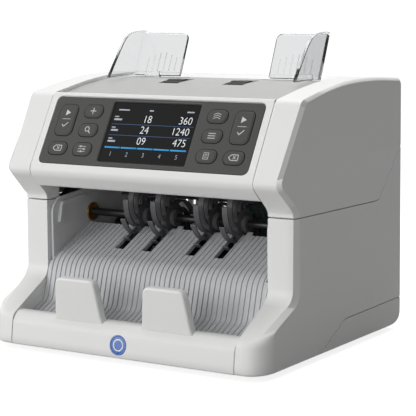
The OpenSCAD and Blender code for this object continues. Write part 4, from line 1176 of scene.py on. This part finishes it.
# ----------------------------------------------------------------- inner frames
def side_frames():
    outline = soft([(52, 8, 0), (208, 8, 0), (208, 138, 6), (172, 176, 8), (146, 198, 8),
                    (112, 198, 6), (104, 186, 6), (104, 124, 8), (96, 115, 4), (60, 111.5, 4),
                    (52, 104, 5)], 8, True)
    ledge = soft([(58, 92, 0), (62, 108, 3), (92, 111, 2), (95, 108.6, 0), (64, 105.4, 2),
                  (61, 92, 0)], 6, True)
    holes = [circle(centre, 6) for centre in (STACKER, FEED, PICKUP)]
    holes += [circle(centre, 2, 24) for centre in TIE_RODS]
    holes.append(even([(122, 40), (160, 40), (160, 100), (122, 74)], 6, 8))
    motor_hole = circle(MOTOR, 9.2, 56)
    for name, side, extra in (("left", -1, []), ("right", 1, [motor_hole])):
        def place(u, v, w):
            return (side * w, u, v)
        part = Solid().plate(outline, 98.5, 100.7, place, 0.3, steps=2, holes=holes + extra)
        part.plate(ledge, 96, 98.7, place, 0.4, 0.2)
        piece(name + "_side_frame", part, [FRAME_GREY], "base", name + "_frame")


def shaft_bushes():
    profile = ((97.2, 3.25), (97.2, 7.2), (97.3, 7.4), (97.5, 7.5), (98.5, 7.5), (98.5, 5.98),
               (100.55, 5.98), (100.7, 5.8), (100.7, 3.2), (100.5, 3.05), (97.4, 3.05))
    part = Solid()
    for side in (1, -1):
        for centre in (STACKER, FEED, PICKUP):
            part.lathe([(side * x, r) for x, r in profile], centre, 56, closed=True)
    piece("bush_set", part, [BRONZE], "base", "shaft_bushes")


def tie_rods():
    """Cross rods with studs and hexagon nuts."""
    part = Solid()
    for centre in TIE_RODS:
        part.rod(centre, 3, -98.5, 98.5, 0.4)
        for side in (-1, 1):
            part.rod(centre, 1.98, *span(side, 98, 102.5), 0.1, 24)
            part.plate(circle(centre, 3.6, 6, pi / 6), *span(side, 100.75, 102.6), along_x,
                       0.2, steps=2, holes=[circle(centre, 1.9, 24)])
    piece("tie_rod_set", part, [STEEL], "base", "tie_rods")


def hinge_pins():
    part = Solid()
    for side in (-1, 1):
        part.rod(HINGE, 1.49, *span(side, 47, 82), sides=32)
    piece("hinge_pin_set", part, [STEEL], "base", "hinge_pins")


def feet():
    profile = [(4.9, 0), (4.9, 6.9), (4.0, 7.0), (1.0, 7.0), (0.45, 6.85), (0.12, 6.45),
               (0.0, 5.9), (0.0, 4.4), (0.3, 4.1), (0.35, 0)]
    part = Solid()
    for foot in FEET:
        part.lathe(profile, foot, 56, along_z)
    piece("rubber_feet", part, [RUBBER], "base", "feet", sharp=50)


# ------------------------------------------------------------------------- rear
INLET_CENTRE, PORTS_CENTRE = (-59, 48), (50, 45)


def rear_panel():
    """Back plate with two fields of upright vents, each in a raised frame."""
    vent_xs = (-50.4, 53.6)
    holes = [slot_line((x + 8 * j, 108), 3.2, 40) for x in vent_xs for j in range(-4, 5)]
    holes += [rect(50, 28, 1.0, INLET_CENTRE, 4), rect(64, 18, 1.0, PORTS_CENTRE, 4)]
    holes += [circle(screw, 1.65, 24) for screw in SCREWS]
    outline = [(-MIDDLE_X, 26.6), (MIDDLE_X, 26.6), (MIDDLE_X, 149.4), (-MIDDLE_X, 149.4)]
    part = Solid().plate(outline, 0, WALL, back_from(BACK_Y - WALL), 0.45, 0.2, holes=holes,
                         hole_rims=[(0.45, 0.1)] * 18 + [(0.2, 0.1)] * 6)
    for x in (-98, 98):
        part.block((x - 1, 208, 27), (x + 1, 219.5, 139), 0.3)
    for side in (-1, 1):
        for x in (48, 72):
            x0, x1 = span(side, x, x + 9)
            part.bush(HINGE, 3.5, 1.5, x0, x1, 0.3)
            part.block((x0, 217.7, 143), (x1, 221.4, 147.4), 0.3)
    for x in vent_xs:
        part.plate(rect(76, 48, 5, (x, 108), 10), 0, 0.5, back_from(221.4), 0.25, 0, 2,
                   holes=[rect(72.6, 44.2, 4.1, (x, 108), 10)])
    cuts = [drill(HINGE, 3.9, *span(side, 57.3, 71.7)) for side in (1, -1)]
    piece("rear_panel", part, [TRAY_WHITE], "base", "rear_cover", sharp=38,
          bevel=0.15, bevel_steps=1, cutters=cuts)


def rear_screws():
    """Cross-slotted screws."""
    profile = [(213.8, 0), (213.8, 1.3), (214.2, 1.6), (221.5, 1.6), (221.5, 3.0),
               (221.7, 3.2), (222.2, 3.1), (222.6, 2.5), (222.8, 1.6), (222.8, 0)]
    slot = [(-2, -0.42), (2, -0.42), (2, 0.42), (-2, 0.42)]
    part, cuts = Solid(), []
    for x, z in SCREWS:
        part.lathe(profile, (z, x), 40, along_y)
        cuts += [Solid().plate(turned(slot, (x, z), angle), 0, 3, back_from(222.0), 0)
                 for angle in (0.35, 0.35 + pi / 2)]
    piece("pan_screws", part, [STEEL], "base", "rear_screws", sharp=35, cutters=cuts)


def mains_inlet():
    """Inlet block with a three-pin socket and a well for the rocker."""
    socket = soft([(-81, 36, 1.5), (-54, 36, 1.5), (-54, 54.5, 0.8), (-59.5, 60, 0.8),
                   (-75.5, 60, 0.8), (-81, 54.5, 0.8)], 5, True)
    holes = [socket, rect(14, 21, 0.8, (-43, 48), 4)]
    part = Solid()
    part.plate(rect(54, 32, 2.5, INLET_CENTRE), 0, 1.2, back_from(221.6), 0.4, 0.1,
               holes=holes, hole_rims=[(0.5, 0), (0.4, 0)])
    part.plate(rect(49.0, 27.0, 1.0, INLET_CENTRE, 4), 2.95, 17.5, back_from(204), 0.1,
               steps=1, holes=holes, hole_rims=[(0, 0), (0, 0)])
    part.plate(rect(49.2, 27.2, 1.0, INLET_CENTRE, 4), 0, 3.2, back_from(204), 0.3, 0.1, 2)
    part.plate(rect(21, 12.5, 1.2, (-67.5, 47), 4), 0, 9.5, back_from(207), 0.4, 0.05, 2)
    for x, z in ((-74, 44), (-67.5, 49), (-61, 44)):
        part.block((x - 1, 207, z), (x + 1, 219.3, z + 4), 0.35, 1)
    piece("mains_inlet", part, [BLACK, STEEL], "base", "inlet_module",
          sharp=42)


def power_rocker():
    """Rocker marked with a bar above and a ring below."""
    profile = [(-5, -2.5, 0), (-5, 2.5, 0), (2.2, 9.6, 0), (3.6, 9.6, 1), (2.2, 0, 4),
               (3.6, -9.6, 1), (2.2, -9.6, 0)]
    pivot_y, pivot_z = 219.5, 48
    part = Solid().plate(soft(profile, 8, True), -49.6, -36.4,
                         lambda u, v, w: (w, pivot_y + u, pivot_z + v), 0.5)
    part.rod((pivot_y, pivot_z), 1.5, -49.95, -36.05, 0.2, 32)
    for outline, holes in (
            (rect(1.0, 4.0, 0.3, (-43, pivot_z + 6), 3), []),
            (circle((-43, pivot_z - 6), 1.9, 28), [circle((-43, pivot_z - 6), 1.25, 28)])):
        part.plate(outline, -0.4, 0.12, back_from(pivot_y + 2.95), 0.05, 0, 1, 1, holes)
    piece("rocker_cap", part, [BLACK, LEGEND], "power_rocker", "power_rocker",
          sharp=42)


def rear_ports():
    """One wide and two narrow sockets and a round one, on a board."""
    part = Solid()
    inside, contact, board = 1, 2, 3
    for start, width in ((20, 16), (40, 13), (57, 13)):
        x = start + width / 2
        part.plate(rect(width, 14, 1.0, (x, 45), 4), 4.9, 14.3, back_from(207), 0.35, 0, 2,
                   holes=[rect(width - 2.4, 11.6, 0.6, (x, 45), 4)], hole_rims=[(0.35, 0)])
        part.plate(rect(width, 14, 1.0, (x, 45), 4), 0, 4.95, back_from(207), 0.1, 0, 1)
        if width == 13:
            tongue, end = rect(width - 4.6, 2.2, 0.3, (x, 47), 3), 12.5
        else:
            tongue, end = rect(width - 4, 3.4, 0.3, (x, 42.4), 3), 12.0
            for k in range(6):
                part.block((start + 3.4 + k * 1.6, 211.5, 48),
                           (start + 4.0 + k * 1.6, 219.5, 48.6), 0.1, contact)
        part.plate(tongue, 4.9, end, back_from(207), 0.2, 0, 2, inside)
    part.lathe([(207, 0), (207, 4.3), (207.2, 4.5), (220.9, 4.5), (221.3, 4.1), (221.3, 3.3),
                (221.0, 3.0), (212, 3.0), (212, 0)], (45, 76), 48, along_y)
    part.lathe([(211.8, 0), (211.8, 0.8), (218.6, 0.8), (219, 0.5), (219, 0)], (45, 76), 24,
               along_y, contact)
    part.plate(rect(63, 17, 0.6, PORTS_CENTRE, 3), 0, 1.4, back_from(206), 0.2, steps=1,
               paint=board)
    piece("rear_ports", part, [ZINC, PORT_INSIDE, BRONZE, BOARD], "base", "data_ports",
          sharp=42)


# -------------------------------------------------- CAD parts kept, and details
def dress_kept_parts():
    for name, finish in (
            ("main_board", BOARD), ("power_supply", ZINC), ("motor_body", CAN),
            ("sensor_bars", BLACK), ("note_guides", FRAME_BLACK), ("display_module", ZINC),
            ("keypad_board", BOARD), ("guide_pinion", ACETAL), ("left_rack", ACETAL_DARK),
            ("right_rack", ACETAL_DARK)):
        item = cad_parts[name]
        for slot in item.material_slots:
            slot.material = finish
        item.modifiers.new("weld", "WELD").merge_threshold = 2e-6
        bevel_edges(item, width=0.22, angle=38)
        item.modifiers.new("normals", "WEIGHTED_NORMAL")


def board_parts():
    """Chips with pins along two edges, and a row of cans above them."""
    part = Solid()
    for x in (-24, 14, 50):
        for k in range(8):
            pin = x + 1.2 + k * 2.1
            for z in (72.6, 91.9):
                part.block((pin, 201.6, z), (pin + 0.6, 203.1, z + 1.5), 0.05, 1)
        part.plate(rect(17.6, 17.6, 0.5, (x + 9, 83), 3), -0.35, 0, back_from(200), 0.2, 0, 2)
    for x in (-18, 0, 18, 36, 54, 72):
        part.lathe([(192.6, 0), (192.6, 3.2), (193.0, 3.6), (196, 3.62), (196.4, 3.5),
                    (202.8, 3.6), (203, 0)], (120, x), 36, along_y, 2)
    piece("board_parts", part, [BLACK, STEEL, CAN], "base", None, sharp=45)


def sensor_lenses():
    part = Solid()
    for x in (-70, -35, 0, 35, 70):
        part.plate(rect(7.4, 3.4, 1.2, (x, 131), 5), -0.5, 0, back_from(169.8), 0, 0.3, 2)
    piece("sensor_lenses", part, [LENS], "base", None, sharp=45)


# --------------------------------------- floor, world, lights, camera (metres)
def seen_directly(tree):
    """1 for rays from the camera or through clear parts."""
    path = add_node(tree, "LightPath")
    return add_node(tree, "Math", {0: path["Is Camera Ray"], 1: path["Is Transmission Ray"]},
                    operation="MAXIMUM")[0]


def floor():
    """Pale floor that looks brighter than the light it gives back."""
    reach = 60.0
    mesh = bpy.data.meshes.new("floor")
    mesh.from_pydata([(-reach, -reach, 0), (reach, -reach, 0), (reach, reach, 0),
                      (-reach, reach, 0)], [], [(0, 1, 2, 3)])
    item = bpy.data.objects.new("floor", mesh)
    bpy.context.scene.collection.objects.link(item)
    finish = bpy.data.materials.new("pale_floor")
    tree = new_tree(finish)
    matte = add_node(tree, "BsdfDiffuse", {"Color": (0.42, 0.42, 0.42, 1)})[0]
    glow = add_node(tree, "Emission", {"Color": (1, 1, 1, 1), "Strength": 0.84})[0]
    bright = add_node(tree, "AddShader", {0: matte, 1: glow})[0]
    dim = add_node(tree, "BsdfDiffuse", {"Color": (0.3, 0.3, 0.3, 1)})[0]
    surface = add_node(tree, "MixShader", {0: seen_directly(tree), 1: dim, 2: bright})[0]
    add_node(tree, "OutputMaterial", {0: surface})
    mesh.materials.append(finish)


def studio_world():
    """White where seen directly; as a light it fades from -x to +x."""
    world = bpy.data.worlds.new("studio")
    bpy.context.scene.world = world
    tree = new_tree(world)
    white = (1, 1, 1, 1)
    backdrop = add_node(tree, "Background", {"Color": white, "Strength": 1})[0]
    sides = add_node(tree, "SeparateXYZ", {0: add_node(tree, "TexCoord")["Generated"]})["X"]
    strength = remap(tree, sides, 0.95, 0.03, source=(-1, 1))
    lighting = add_node(tree, "Background", {"Color": white, "Strength": strength})[0]
    surface = add_node(tree, "MixShader",
                       {0: seen_directly(tree), 1: lighting, 2: backdrop})[0]
    add_node(tree, "OutputWorld", {0: surface})


def area_light(name, location, size, power):
    """Square light aimed at the machine's middle."""
    light = bpy.data.lights.new(name, "AREA")
    light.energy, light.size = power, size
    item = bpy.data.objects.new(name, light)
    bpy.context.scene.collection.objects.link(item)
    item.location = location
    item.rotation_mode = "QUATERNION"
    aim = Vector((0, 0, 0.1)) - Vector(location)
    item.rotation_quaternion = aim.to_track_quat("-Z", "Y")


def camera(location, azimuth, elevation, roll, lens):
    """Angles in degrees; azimuth is measured from the front towards +x."""
    a, e, r = radians(azimuth), radians(elevation), radians(roll)
    back = Vector((sin(a) * cos(e), -cos(a) * cos(e), sin(e)))
    level = (-back).cross(Vector((0, 0, 1))).normalized()
    upright = level.cross(-back).normalized()
    right = level * cos(r) + upright * sin(r)
    up = -level * sin(r) + upright * cos(r)
    item = bpy.data.objects.new("camera", bpy.data.cameras.new("camera"))
    item.data.sensor_width = 36.0
    item.data.lens = lens
    item.data.clip_start, item.data.clip_end = 0.05, 200
    matrix = Matrix.Identity(4)
    for i in range(3):
        matrix[i][:] = right[i], up[i], back[i], location[i]
    item.matrix_world = matrix
    bpy.context.scene.collection.objects.link(item)
    bpy.context.scene.camera = item


# ------------------------------------------------------------------------ build
side_covers("upper", UPPER_OUTLINE, UPPER_HOLLOWS, [(70, 180), (196, 190), (196, 160)],
            "upper_unit", SHELL_WHITE)
side_covers("lower", LOWER_OUTLINE, LOWER_HOLLOWS, [(74, 96), (74, 20), (206, 40), (206, 122)],
            "base", SHELL_WHITE)
for build in (base_tub, front_tray, badge, stacker_plate, control_cover, bezel, key_caps,
              display_window, readout, hopper, top_lid, clear_guides, feed_rollers,
              pickup_rollers, stacker_wheels, axles_and_pulleys, belts, side_frames,
              shaft_bushes, tie_rods, hinge_pins, feet, rear_panel, rear_screws, mains_inlet,
              power_rocker, rear_ports, dress_kept_parts, board_parts, sensor_lenses):
    build()

view = bpy.context.scene.view_settings
view.view_transform = "Standard"
view.look = "None"
view.exposure = 0.0
view.gamma = 1.0
floor()
studio_world()
area_light("key", location=(-0.85, -1.3, 0.36), size=0.7, power=6.4)
area_light("fill", location=(0.36, -2.35, 0.28), size=1.0, power=15)
area_light("top", location=(0.0, 0.6, 1.6), size=1.2, power=19)
camera(location=(0.67615, -1.03376, 0.27576), azimuth=32.83413, elevation=7.96437,
       roll=-0.63425, lens=136.64901548)
